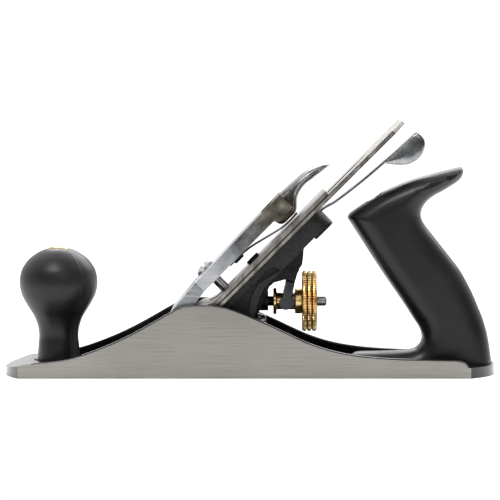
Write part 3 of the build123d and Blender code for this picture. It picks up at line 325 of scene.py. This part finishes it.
def iron_material():
    """Bright flats, brown-grey edges, and painted shade: dark lines where the frog, the blade and the cap iron
    meet.
    """
    recipe = Recipe("iron_steel", 1.0, 0.32)
    flat, streak = ground_colour(recipe, (0.62, 0.60, 0.57), (0.36, 0.345, 0.32), (1, 1, 8), radians(45))
    worn = recipe.noise(240.0, 4.0, 0.6, (1, 1, 0.2), radians(45))
    edge = recipe.ramp(worn, [(0.34, (0.20, 0.18, 0.155)), (0.66, (0.50, 0.475, 0.44))])
    side = recipe.math("GREATER_THAN", recipe.math("ABSOLUTE", recipe.facing((0, 1, 0))), 0.5)
    n = recipe.along(tuple(OUT_OF_BED), BED_X * sqrt(0.5))
    s = recipe.along(tuple(UP_BED), -BED_X * sqrt(0.5))
    # Painted shade: a thin dark line along each seam, where the blade lies on the frog and the cap iron on the
    # blade.
    for seam in (0.0, BLADE_THICK):
        near = recipe.math("ABSOLUTE", recipe.math("SUBTRACT", n, seam))
        near = recipe.span(near, 0.00052, 0.00018)
        if seam:
            near = recipe.math("MULTIPLY", near, recipe.math("LESS_THAN", s, CAP_IRON_TOP_S))
        edge = recipe.mix(near, edge, (0.012, 0.011, 0.010))
    recipe.colour(recipe.mix(side, flat, edge))
    recipe.rough(recipe.span(streak, 0.3, 0.7, 0.26, 0.42))
    recipe.bump(streak, 0.00002, 0.3)
    return recipe.material


def brass_material(name, rim=None, light=(1.0, 0.74, 0.36), dark=(0.70, 0.44, 0.16)):
    """Golden brown brass; with a rim radius about the stud's axis, what lies inside its knurl is dark."""
    recipe = Recipe(name, 1.0, 0.24)
    tarnish = recipe.noise(150.0, 5.0, 0.6)
    turned = recipe.noise(140.0, 3.0, 0.5, (14, 1, 1))
    colour = recipe.ramp(tarnish, [(0.3, dark), (0.6, light)])
    if rim:
        up = recipe.along((0, 0, 1), -STUD_Z * MM)
        out = recipe.along((0, 1, 0))
        reach = recipe.math("SQRT", recipe.math("ADD", recipe.math("MULTIPLY", up, up),
                                                recipe.math("MULTIPLY", out, out)))
        crest = recipe.span(reach, (rim - 0.9) * MM, (rim - 0.35) * MM)
        inside = recipe.span(reach, (rim - 1.4) * MM, (rim - 2.2) * MM)
        hollow = recipe.mix(inside, (0.32, 0.18, 0.055), colour)
        colour = recipe.mix(crest, hollow, colour)
    recipe.colour(colour)
    recipe.rough(recipe.span(tarnish, 0.3, 0.7, 0.18, 0.38))
    recipe.bump(turned, 0.00004, 0.4)
    return recipe.material


def lever_cap_material():
    """Satin plate with painted light: a painted highlight just above the lower end and painted shade further
    up; worn brown and olive towards the cam; a brushed lower end, darker as painted shade.
    """
    recipe = Recipe("lever_cap_plate", 1.0, 0.3)
    s = recipe.along(tuple(UP_BED), -BED_X * sqrt(0.5))
    streak = recipe.noise(70.0, 6.0, 0.7, (1, 1, 9), radians(45))
    cloud = recipe.noise(120.0, 5.0, 0.65)
    # Painted highlight: the plate's light ramp is bright where the curving side catches the light above the
    # lower end.
    plate = recipe.ramp(streak, [(0.32, (0.66, 0.68, 0.72)), (0.64, (0.93, 0.95, 0.97))])
    brown = recipe.ramp(cloud, [(0.36, (0.10, 0.08, 0.05)), (0.52, (0.24, 0.21, 0.155)),
                                (0.68, (0.42, 0.40, 0.36))])
    grey = recipe.ramp(cloud, [(0.36, (0.22, 0.23, 0.25)), (0.66, (0.52, 0.54, 0.57))])
    # Painted shade: further up, the plate turns darker grey where the curving side turns away from the light.
    plate = recipe.mix(recipe.span(s, 0.058, 0.076), plate, grey)
    wear = recipe.span(s, 0.074, 0.100)
    wear = recipe.math("MULTIPLY", wear, recipe.span(cloud, 0.30, 0.56, 0.55, 1.0))
    upper = recipe.mix(wear, plate, brown)
    # The lower end: brushed streaks, darker as painted shade on its flat side.
    brushed_and_shaded = recipe.ramp(streak, [(0.34, (0.26, 0.275, 0.29)), (0.64, (0.66, 0.69, 0.72))])
    low = recipe.math("LESS_THAN", s, LEVER_CAP_BEVEL_S)
    recipe.colour(recipe.mix(low, upper, brushed_and_shaded))
    recipe.rough(recipe.span(cloud, 0.3, 0.7, 0.24, 0.42))
    recipe.bump(recipe.math("ADD", streak, recipe.math("MULTIPLY", cloud, 0.7)), 0.00005, 0.5)
    return recipe.material


def cam_material():
    recipe = Recipe("cam_plate", 1.0, 0.26)
    s = recipe.along(tuple(UP_BED), -BED_X * sqrt(0.5))
    cloud = recipe.noise(170.0, 5.0, 0.65)
    plate = recipe.ramp(cloud, [(0.34, (0.13, 0.13, 0.13)), (0.66, (0.42, 0.42, 0.42))])
    brown = recipe.ramp(cloud, [(0.36, (0.04, 0.03, 0.022)), (0.66, (0.17, 0.135, 0.10))])
    recipe.colour(recipe.mix(recipe.span(s, 0.108, 0.118), brown, plate))
    recipe.rough(recipe.span(cloud, 0.3, 0.7, 0.2, 0.4))
    recipe.bump(cloud, 0.00008, 0.5)
    return recipe.material


def stud_material():
    """Grey steel at the free end; nearly black towards the nut and the frog."""
    recipe = Recipe("stud_steel", 1.0, 0.34)
    colour, streak = ground_colour(recipe, (0.36, 0.36, 0.36), (0.17, 0.17, 0.17), (1, 1, 1))
    free = recipe.math("GREATER_THAN", recipe.along((1, 0, 0)), 0.02)
    recipe.colour(recipe.mix(free, (0.012, 0.012, 0.012), colour))
    recipe.bump(streak, 0.00003, 0.4)
    return recipe.material


# ---- mesh helpers ----
def add_object(name, mesh, body, slot, material, *replaced):
    made = bpy.data.objects.new(name, mesh)
    scene.collection.objects.link(made)
    made.data.materials.clear()
    made.data.materials.append(material)
    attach(made, body)
    if replaced:
        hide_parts(*replaced)
    return made


def smooth(mesh, angle=40):
    for face in mesh.polygons:
        face.use_smooth = True
    mesh.set_sharp_from_angle(angle=radians(angle))


def mesh_of(name, points, faces):
    mesh = bpy.data.meshes.new(name)
    mesh.from_pydata([tuple(point) for point in points], [], faces)
    mesh.validate()
    shape = bmesh.new()
    shape.from_mesh(mesh)
    bmesh.ops.recalc_face_normals(shape, faces=shape.faces)
    shape.to_mesh(mesh)
    shape.free()
    return mesh


def apply_modifiers(thing):
    """Puts what the modifiers make into the mesh itself."""
    graph = bpy.context.evaluated_depsgraph_get()
    mesh = bpy.data.meshes.new_from_object(thing.evaluated_get(graph))
    thing.modifiers.clear()
    thing.data = mesh


def round_edges(thing, width, segments=2, angle=32):
    """Rounds the edges sharper than an angle, and shades the flat faces as truly flat."""
    bevel = thing.modifiers.new("bevel", "BEVEL")
    bevel.width = width * MM
    bevel.segments = segments
    bevel.limit_method = "ANGLE"
    bevel.angle_limit = radians(angle)
    bevel.use_clamp_overlap = True
    apply_modifiers(thing)
    smooth(thing.data)
    weighted = thing.modifiers.new("flat_faces", "WEIGHTED_NORMAL")
    weighted.keep_sharp = True
    apply_modifiers(thing)


def cut(thing, tool_mesh):
    """Takes a closed mesh away from an object."""
    tool = bpy.data.objects.new("cutter", tool_mesh)
    scene.collection.objects.link(tool)
    difference = thing.modifiers.new("cut", "BOOLEAN")
    difference.operation = "DIFFERENCE"
    difference.solver = "EXACT"
    difference.object = tool
    apply_modifiers(thing)
    bpy.data.objects.remove(tool)


def softened(node, body, slot, width, segments=2, cutters=()):
    """A copy of a CAD node with its sharp edges rounded off."""
    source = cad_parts[node].data
    mesh = source.copy()
    mesh.name = node + "_soft"
    shape = bmesh.new()
    shape.from_mesh(mesh)
    bmesh.ops.remove_doubles(shape, verts=shape.verts, dist=1e-6)
    bmesh.ops.dissolve_limit(shape, angle_limit=radians(0.6), verts=shape.verts, edges=shape.edges)
    shape.to_mesh(mesh)
    shape.free()
    made = add_object(node + "_soft", mesh, body, slot, MATERIALS[MATERIAL_OF[node]], node)
    for cutter in cutters:
        cut(made, cutter)
    round_edges(made, width, segments)
    return made


def through(points, count):
    """Evenly spaced points on a smooth curve through the given ones."""
    points = [Vector(point) for point in points]
    ends = [points[0] * 2 - points[1]] + points + [points[-1] * 2 - points[-2]]
    dense = []
    for a, b, c, d in zip(ends, ends[1:], ends[2:], ends[3:]):
        for step in range(24):
            t = step / 24
            dense.append(0.5 * (2 * b + (c - a) * t + (2 * a - 5 * b + 4 * c - d) * t * t
                                + (3 * b - a - 3 * c + d) * t ** 3))
    dense.append(points[-1])
    lengths = [0.0]
    for a, b in zip(dense, dense[1:]):
        lengths.append(lengths[-1] + (b - a).length)
    spaced = []
    place = 0
    for number in range(count):
        want = lengths[-1] * number / (count - 1)
        while place < len(dense) - 2 and lengths[place + 1] < want:
            place += 1
        share = (want - lengths[place]) / max(lengths[place + 1] - lengths[place], 1e-12)
        spaced.append(dense[place].lerp(dense[place + 1], min(max(share, 0), 1)))
    return spaced


def grid_faces(rows, columns, wrap=False):
    """The quads of a grid of points given row after row; wrap joins the last row to the first."""
    faces = []
    for row in range(rows if wrap else rows - 1):
        after = (row + 1) % rows
        for column in range(columns - 1):
            faces.append((row * columns + column, row * columns + column + 1,
                          after * columns + column + 1, after * columns + column))
    return faces


def turned(name, outline, angles, place):
    """A turned mesh: place(radius, height, angle) puts each point of the outline at each angle."""
    points = [place(radius, height, angle) for angle in angles for radius, height in outline]
    return mesh_of(name, points, grid_faces(len(angles), len(outline), wrap=True))


def prism(name, outline, near, far, place):
    """A closed slab of an outline; place(a, b, y) puts its points."""
    size = len(outline)
    points = [place(a, b, y) for y in (near, far) for a, b in outline]
    faces = [tuple(range(size)), tuple(range(2 * size - 1, size - 1, -1))]
    for number in range(size):
        after = (number + 1) % size
        faces.append((number, after, size + after, size + number))
    return mesh_of(name, points, faces)


def upright(x, z, y):
    return Vector((x, y, z)) * MM


def distances(points, chain):
    """The distance of each point from a chain of short straight runs."""
    points = np.asarray(points)[:, None, :]
    starts = np.asarray(chain)[None, :-1, :]
    runs = np.asarray(chain)[None, 1:, :] - starts
    share = ((points - starts) * runs).sum(2) / (runs * runs).sum(2)
    nearest = starts + runs * share.clip(0, 1)[..., None]
    return np.sqrt(((points - nearest) ** 2).sum(2)).min(1)


def pillow(name, rounded, flat, half_width, rim, place, spacing=2.6, power=2.0):
    """A solid of an outline whose sides swell from its rounded rim to a half width.

    The rounded points run anticlockwise; flat points close the outline with a face left square.
    """
    loop = rounded + flat
    chain = rounded if flat else rounded + rounded[:1]
    corners = [Vector(point) for point in chain]
    inner = []
    for share in (0.02, 0.07, 0.15, 0.27, 0.42, 0.57, 0.72, 0.86, 1.0):
        depth = share * rim
        ring = []
        for before, here, after in zip(corners, corners[1:], corners[2:]):
            along = (after - before).normalized()
            ring.append(tuple(here + Vector((-along.y, along.x)) * depth))
        far = distances(ring, chain)
        inner += [point for point, reach in zip(ring, far) if reach > 0.98 * depth]
    low = np.min(loop, axis=0)
    high = np.max(loop, axis=0)
    grid = [(a, b) for a in np.arange(low[0], high[0], spacing) for b in np.arange(low[1], high[1], spacing)]
    inner += [point for point, reach in zip(grid, distances(grid, chain)) if reach > 1.1 * rim]
    edges = [(number, (number + 1) % len(loop)) for number in range(len(loop))]
    flat_points, _, faces, *_ = delaunay_2d_cdt([Vector(p) for p in loop + inner], edges, [], 1, 1e-4)
    share = (distances([tuple(p) for p in flat_points], chain) / rim).clip(0, 1)
    heights = half_width * (1 - (1 - share) ** power) ** (1 / power)
    size = len(flat_points)
    points = [place(p.x, p.y, -h) for p, h in zip(flat_points, heights)]
    points += [place(p.x, p.y, h) for p, h in zip(flat_points, heights)]
    solid = [tuple(face) for face in faces] + [tuple(size + v for v in reversed(face)) for face in faces]
    for number in range(len(rounded) - 1, len(loop)) if flat else ():
        after = (number + 1) % len(loop)
        solid.append((number, after, size + after, size + number))
    mesh = mesh_of(name, points, solid)
    shape = bmesh.new()
    shape.from_mesh(mesh)
    bmesh.ops.remove_doubles(shape, verts=shape.verts, dist=2e-6)
    bmesh.ops.recalc_face_normals(shape, faces=shape.faces)
    shape.to_mesh(mesh)
    shape.free()
    return mesh


def even_angles(count):
    return [2 * pi * number / count for number in range(count)]


# ---- knob ----
KNOB_LOW, KNOB_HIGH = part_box("front_knob")
KNOB_MIDDLE = (KNOB_LOW + KNOB_HIGH) / 2 / MM


def on_knob(radius, height, angle):
    return Vector((KNOB_MIDDLE.x + radius * sin(angle), -radius * cos(angle), height)) * MM


def add_knob():
    """The turned knob, with the fine line that its mould left down two sides."""
    foot = KNOB_LOW.z / MM
    side = through([(10.8, foot), (10.4, 14.0), (10.0, 19.2), (10.6, 24.0), (12.4, 28.9), (15.4, 33.8),
                    (18.2, 38.8), (19.5, 43.0), (19.8, 46.2), (19.4, 50.0), (18.2, 53.6), (15.2, 57.8),
                    (11.5, 60.7), (8.6, 62.3), (6.2, 63.2)], 60)
    well = [(5.5, 63.3), (5.3, 63.0), (5.3, 59.0), (4.0, 58.5)]
    outline = [(5.6, foot)] + [tuple(point) for point in side] + well
    seams = (radians(39), radians(219))
    angles = even_angles(96)
    for seam in seams:
        angles += [seam + radians(turn) for turn in (-0.9, -0.35, 0.35, 0.9)]
    angles.sort()

    def place(radius, height, angle):
        on_seam = any(abs(angle - seam) < radians(0.5) for seam in seams) and radius > 6.5
        return on_knob(radius + (0.11 if on_seam else 0), height, angle)

    mesh = turned("knob_fine", outline, angles, place)
    knob = add_object("knob_fine", mesh, "body", "black_plastic", MATERIALS["knob"], "front_knob")
    smooth(knob.data, 60)


def add_knob_nut():
    """The domed brass nut in the knob's top, with its driver slot."""
    outline = [(3.0, 60.0), (4.6, 60.2), (5.1, 60.8), (5.15, 63.1), (4.9, 63.5), (4.2, 63.9), (3.0, 64.25),
               (1.5, 64.45), (0.02, 64.5)]
    mesh = turned("knob_nut_fine", outline, even_angles(64), on_knob)
    nut = add_object("knob_nut_fine", mesh, "body", "brass", MATERIALS["nut"], "knob_nut")
    slot = [(-8.0, -0.6), (8.0, -0.6), (8.0, 0.6), (-8.0, 0.6)]
    cut(nut, prism("slot", slot, 63.4, 66.0,
                   lambda a, b, z: Vector((KNOB_MIDDLE.x + a, b, z)) * MM))
    smooth(nut.data, 35)


# ---- tote ----
TOTE_LOW, TOTE_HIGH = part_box("tote")
TOTE_AXIS = (Vector((61.9, 0, 90.4)), Vector((106.0, 0, 10.0)))


def add_tote():
    """The handle: one full outline, its grip well rounded, flat where it stands on the heel."""
    foot = TOTE_LOW.z / MM
    rear = through([(122.9, foot), (121.1, 17.3), (118.9, 26.0), (115.5, 34.7), (112.0, 42.6), (106.7, 52.2),
                    (101.3, 59.3), (94.5, 67.9), (89.6, 74.0), (87.1, 78.0), (86.7, 81.3), (87.9, 84.9),
                    (90.6, 88.1), (94.1, 90.6), (98.4, 92.9), (104.8, 96.9)], 90)
    tip = through([(104.8, 96.9), (107.2, 99.4), (108.1, 102.4), (107.2, 104.6), (105.4, 104.5)], 14)
    top = through([(105.4, 104.5), (101.2, 103.5), (90.6, 100.8), (79.9, 97.6), (69.2, 93.1), (63.9, 90.3),
                   (57.5, 86.2), (53.2, 83.3), (50.2, 80.9), (49.4, 78.9)], 56)
    front = through([(49.4, 78.9), (52.8, 73.6), (58.7, 64.4), (67.4, 50.9), (76.2, 38.2), (82.3, 28.8),
                     (85.8, 23.4), (87.1, 19.0), (86.3, 15.5), (83.6, 13.0), (79.6, 12.0)], 80)
    toe = through([(79.6, 12.0), (72.2, 11.5), (63.5, 11.2), (56.0, 11.0), (53.0, 10.4), (51.2, 8.6),
                   (50.6, foot)], 36)
    loop = [tuple(point) for point in rear + tip[1:] + top[1:] + front[1:] + toe[1:]]
    flat = [(50.6 + (122.9 - 50.6) * number / 28, foot) for number in range(1, 28)]
    mesh = pillow("tote_fine", loop, flat, 11.5, 10.5, upright, power=2.3)
    tote = add_object("tote_fine", mesh, "body", "black_plastic", MATERIALS["tote"], "tote")
    down = (TOTE_AXIS[1] - TOTE_AXIS[0]).normalized()
    beside = Vector((0, 1, 0))
    out = down.cross(beside)
    well = [(radius, depth) for radius, depth in ((0.01, 2.1), (5.3, 2.1), (5.3, -8.0), (0.01, -8.0))]
    cut(tote, turned("well", well, even_angles(48), lambda radius, depth, angle: (
        TOTE_AXIS[0] + down * depth + (beside * cos(angle) + out * sin(angle)) * radius) * MM))
    smooth(tote.data, 38)


# ---- depth nut ----
def on_stud(radius, x, angle):
    return Vector((x, radius * sin(angle), STUD_Z + radius * cos(angle))) * MM


def add_hub():
    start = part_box("adjusting_hub")[0].x / MM
    outline = [(2.54, 0.3), (2.9, 0), (6.3, 0), (6.7, 0.35), (6.7, 1.35), (6.4, 1.7), (4.6, 1.7), (4.35, 2.0),
               (4.35, 10.7), (4.6, 11.0), (6.0, 11.0), (6.4, 11.4), (6.4, 14.2), (6.1, 14.55), (2.54, 14.55)]
    outline = [(radius, start + x) for radius, x in outline]
    mesh = turned("hub_fine", outline, even_angles(72), on_stud)
    hub = add_object("hub_fine", mesh, "nut_hub", "brass", MATERIALS["brass"], "adjusting_hub")
    smooth(hub.data, 35)


def add_wheel():
    """The finger wheel, its three ridges knurled straight across."""
    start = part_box("adjusting_wheel")[0].x / MM
    rim = WHEEL_RADIUS
    teeth = 72
    outline = [(2.54, 0), (7.9, 0), (9.4, 1.4), (12.3, 1.4), (13.5, 0), (14.5, 0)]
    crests = []
    for number in range(3):
        left = number * 2.46
        for x in (left + 0.38, left + 0.75, left + 1.65, left + 2.04):
            crests.append(len(outline))
            outline.append((rim - (0.14 if x in (left + 0.38, left + 2.04) else 0), x))
        if number < 2:
            outline.append((rim - 1.25, left + 2.43))
    outline += [(14.6, 7.4), (13.3, 7.4), (11.8, 5.9), (6.4, 5.9), (4.9, 7.4), (2.54, 7.4)]
    crest_x = {outline[number][1] for number in crests}

    def place(radius, x, angle):
        phase = angle * teeth / (2 * pi) % 1
        worn = 0.55 if x in crest_x and 0.3 < phase < 0.8 else 0
        return on_stud(radius - worn, start + x, angle)

    mesh = turned("wheel_fine", outline, even_angles(teeth * 4), place)
    wheel = add_object("wheel_fine", mesh, "nut_wheel", "brass", MATERIALS["wheel"], "adjusting_wheel")
    smooth(wheel.data, 24)


# ---- cam lever, lateral lever and spring ----
def add_cam_lever():
    """Squared at the cam, drawn down to a thin rounded thumb piece."""
    stations = through([
        (98.75, 9.8, 13.0, 11.6, 7.0), (99.3, 8.4, 15.2, 12.0, 7.0), (100.4, 7.3, 17.2, 12.1, 7.0),
        (102.0, 6.8, 18.3, 12.1, 7.0), (105.0, 6.8, 18.8, 12.1, 7.0), (108.4, 6.8, 19.0, 12.1, 6.0),
        (110.6, 7.5, 19.0, 12.1, 5.0), (112.7, 9.2, 18.9, 12.0, 4.0), (115.0, 11.2, 18.8, 11.8, 3.2),
        (118.6, 12.7, 18.7, 11.6, 2.8), (122.6, 13.2, 18.4, 11.4, 2.6), (126.5, 12.7, 18.0, 11.2, 2.6),
        (130.2, 12.2, 17.2, 10.8, 2.5), (134.0, 11.8, 15.7, 9.8, 2.4), (136.8, 11.5, 14.0, 7.6, 2.4),
        (138.1, 11.4, 12.8, 4.6, 2.3), (138.5, 11.5, 12.2, 1.5, 2.2)], 64)
    around = 40
    points = []
    for s, low, high, half, power in stations:
        for number in range(around):
            angle = 2 * pi * number / around
            rise = abs(sin(angle)) ** (2 / power) * (1 if sin(angle) > 0 else -1)
            reach = abs(cos(angle)) ** (2 / power) * (1 if cos(angle) > 0 else -1)
            points.append(bed(s, (low + high) / 2 + rise * (high - low) / 2, reach * half))
    rows = len(stations)
    faces = []
    for row in range(rows - 1):
        for number in range(around):
            after = (number + 1) % around
            faces.append((row * around + number, row * around + after,
                          (row + 1) * around + after, (row + 1) * around + number))
    faces.append(tuple(range(around)))
    faces.append(tuple((rows - 1) * around + number for number in range(around)))
    mesh = mesh_of("cam_lever_fine", points, faces)
    lever = add_object("cam_lever_fine", mesh, "cam_lever", "plated_steel", MATERIALS["cam"], "cam_lever")
    smooth(lever.data, 42)


def strip(name, middle, thick, half_width, count=48):
    """A bent flat strip, from the middle line of its side view in the bed's coordinates."""
    line = through(middle, count)
    upper = []
    lower = []
    for number, point in enumerate(line):
        along = (line[min(number + 1, count - 1)] - line[max(number - 1, 0)]).normalized()
        across = Vector((-along.y, along.x)) * thick / 2
        upper.append(tuple(point + across))
        lower.append(tuple(point - across))
    return prism(name, upper + lower[::-1], -half_width, half_width, bed)


def add_spring():
    middle = [(66.6, 10.8), (71.0, 10.8), (76.0, 10.7), (82.0, 9.9), (90.0, 8.0), (98.0, 6.1), (104.0, 5.6),
              (109.4, 5.9)]
    mesh = strip("spring_fine", middle, 0.6, 7.0)
    spring = add_object("spring_fine", mesh, "lever_cap", "dark_steel", MATERIALS["dark"], "lever_cap_spring")
    round_edges(spring, 0.12, 1)


def add_lateral_lever():
    """A thin strip bent up behind the irons, with a cupped thumb piece folded from its end."""
    mesh = strip("lateral_strip", [(102.0, -1.6), (112.0, -1.6), (118.0, -1.7), (122.5, -2.5), (127.6, -3.9),
                                   (143.0, -5.9), (158.0, -7.1), (170.0, -7.9), (180.6, -8.3)], 1.15, 4.5, 60)
    steel = MATERIALS["lateral"]
    lever = add_object("lateral_strip", mesh, "lateral_lever", "dark_steel", steel, "lateral_lever")
    cut(lever, prism("pivot_hole", [(112.0 + 1.64 * cos(a), 1.64 * sin(a)) for a in even_angles(32)], -4, 2,
                     lambda s, y, n: bed(s, n, y)))
    round_edges(lever, 0.25)
    leaf = through([(180.8, -7.9), (181.3, -10.6), (180.7, -13.6), (178.5, -16.0), (174.6, -17.6),
                    (170.1, -17.5), (165.9, -15.8), (162.0, -12.1), (160.0, -9.6), (158.0, -6.9)], 56)
    edge = through([(158.0, -6.9), (164.0, -7.1), (172.0, -7.5), (180.8, -7.9)], 24)
    loop = [tuple(point) for point in (leaf + edge[1:-1])][::-1]
    for number, side in enumerate((-1, 1)):
        mesh = pillow(f"thumb_piece_{number}", loop, [], 1.15, 5.5,
                      lambda s, n, y, side=side: bed(s, n, side * 6.15 + y), spacing=1.2)
        ear = add_object(f"thumb_piece_{number}", mesh, "lateral_lever", "dark_steel", steel)
        smooth(ear.data, 60)
    outline = [(160.5, -7.0), (180.6, -8.0), (180.6, -8.9), (161.5, -8.2)]
    mesh = prism("thumb_bridge", outline, -6.2, 6.2, bed)
    bridge = add_object("thumb_bridge", mesh, "lateral_lever", "dark_steel", steel)
    round_edges(bridge, 0.2)


def add_y_lever_pads():
    """The round pads on the Y lever's two arms, which sit in the nut's groove."""
    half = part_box("y_lever")[1].y / MM
    hub_low, hub_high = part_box("adjusting_hub")
    middle = (hub_low.x + hub_high.x) / 2 / MM
    rim = [(middle + PAD_RADIUS * cos(a), STUD_Z + PAD_RADIUS * sin(a)) for a in even_angles(48)]
    for number, side in enumerate((-1, 1)):
        outer = side * half
        pad = prism(f"y_lever_pad_{number}", rim, outer - side * 1.6, outer - side * 0.02, upright)
        pad = add_object(f"y_lever_pad_{number}", pad, "y_lever", "dark_steel", MATERIALS["dark"])
        round_edges(pad, 0.5, 3)


# ---- frog ----
def frog_pockets():
    """The hollows between the frog's side ribs, open to each side."""
    outline = [(44, -3.2), (80, -3.2), (83, -5.0), (83.5, -8.0)]
    outline = [bed(s, n) / MM for s, n in outline]
    outline = [(point.x, point.z) for point in outline]
    outline += [(8.0, 49.2), (4.2, 46.5), (1.0, 41.0), (-0.6, 33.0), (-1.6, 14.5), (-16.0, 14.5),
                (-27.0, 14.5)]
    half = FROG_HALF / MM
    return [prism(f"pocket_{number}", outline, side * (half - 1.8), side * (half + 2), upright)
            for number, side in enumerate((-1, 1))]


STUD_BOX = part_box("adjust_stud")
STUD_Z = (STUD_BOX[0].z + STUD_BOX[1].z) / 2 / MM
FROG_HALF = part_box("frog")[1].y
WHEEL_RADIUS = 15.3
BLADE_THICK = 2.2 * MM
CAP_IRON_TOP_S = 0.148
LEVER_CAP_BEVEL_S = 0.0492
PAD_RADIUS = 3.5
MATERIALS = {
    "body": body_material(),
    "frog": cast_material(),
    "knob": plastic_material("knob_plastic", 0.36),
    "tote": plastic_material("tote_plastic", 0.33),
    "brass": brass_material("brass"),
    # Painted shade: a darker copy of the brass for the knob nut, so that its top, lit from overhead, is less
    # bright than the other brass.
    "nut": brass_material("shade_darkened_brass", None, (0.50, 0.37, 0.19), (0.27, 0.18, 0.08)),
    "wheel": brass_material("knurled_brass", WHEEL_RADIUS),
    "iron": iron_material(),
    "lever_cap": lever_cap_material(),
    "cam": cam_material(),
    "dark": metal_material("dark_steel", (0.085, 0.088, 0.094), (0.03, 0.032, 0.035), 0.30),
    "black": metal_material("blackened_steel", (0.03, 0.03, 0.032), (0.012, 0.012, 0.013), 0.42),
    "screw": metal_material("screw_steel", (0.34, 0.34, 0.34), (0.16, 0.16, 0.16), 0.30),
    "chrome": metal_material("screw_plate", (0.52, 0.52, 0.52), (0.25, 0.25, 0.25), 0.22),
    "stud": stud_material(),
    "lateral": metal_material("lateral_steel", (0.50, 0.52, 0.54), (0.16, 0.17, 0.18), 0.24),
}
MATERIAL_OF = {
    "plane_body": "body", "frog": "frog", "front_knob": "knob", "tote": "tote", "blade": "iron",
    "cap_iron": "iron", "lever_cap": "lever_cap", "cam_lever": "cam", "y_lever": "dark",
    "y_lever_pin": "black", "frog_clip": "screw", "frog_clip_screw": "chrome", "lever_cap_screw": "chrome",
    "cap_iron_screw": "black", "lever_cap_spring": "dark", "spring_rivet": "black",
    "lateral_lever": "lateral", "knob_nut": "brass", "tote_nut": "brass", "adjusting_hub": "brass",
    "adjusting_wheel": "brass",
    "cam_pin": "lever_cap", "adjust_stud": "stud",
}


def paint_nodes():
    for node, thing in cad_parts.items():
        thing.data.materials.clear()
        thing.data.materials.append(MATERIALS[MATERIAL_OF.get(node, "screw")])


def main():
    add_camera()
    add_studio()
    paint_nodes()
    add_knob()
    add_knob_nut()
    add_tote()
    add_hub()
    add_wheel()
    add_cam_lever()
    add_spring()
    add_lateral_lever()
    add_y_lever_pads()
    softened("plane_body", "body", "body_casting", 0.45, 2)
    softened("frog", "frog", "frog_casting", 0.7, 2, frog_pockets())
    softened("blade", "iron", "steel", 0.28, 2)
    softened("cap_iron", "iron", "steel", 0.28, 2)
    softened("lever_cap", "lever_cap", "plated_steel", 0.5, 2)
    softened("y_lever", "y_lever", "dark_steel", 0.45, 2)
    softened("lever_cap_screw", "frog", "plated_steel", 0.25, 2)
    softened("cap_iron_screw", "cap_iron_screw", "screw_steel", 0.3, 2)
    softened("tote_nut", "body", "brass", 0.25, 2)
    scene.view_settings.view_transform = "Standard"


main()
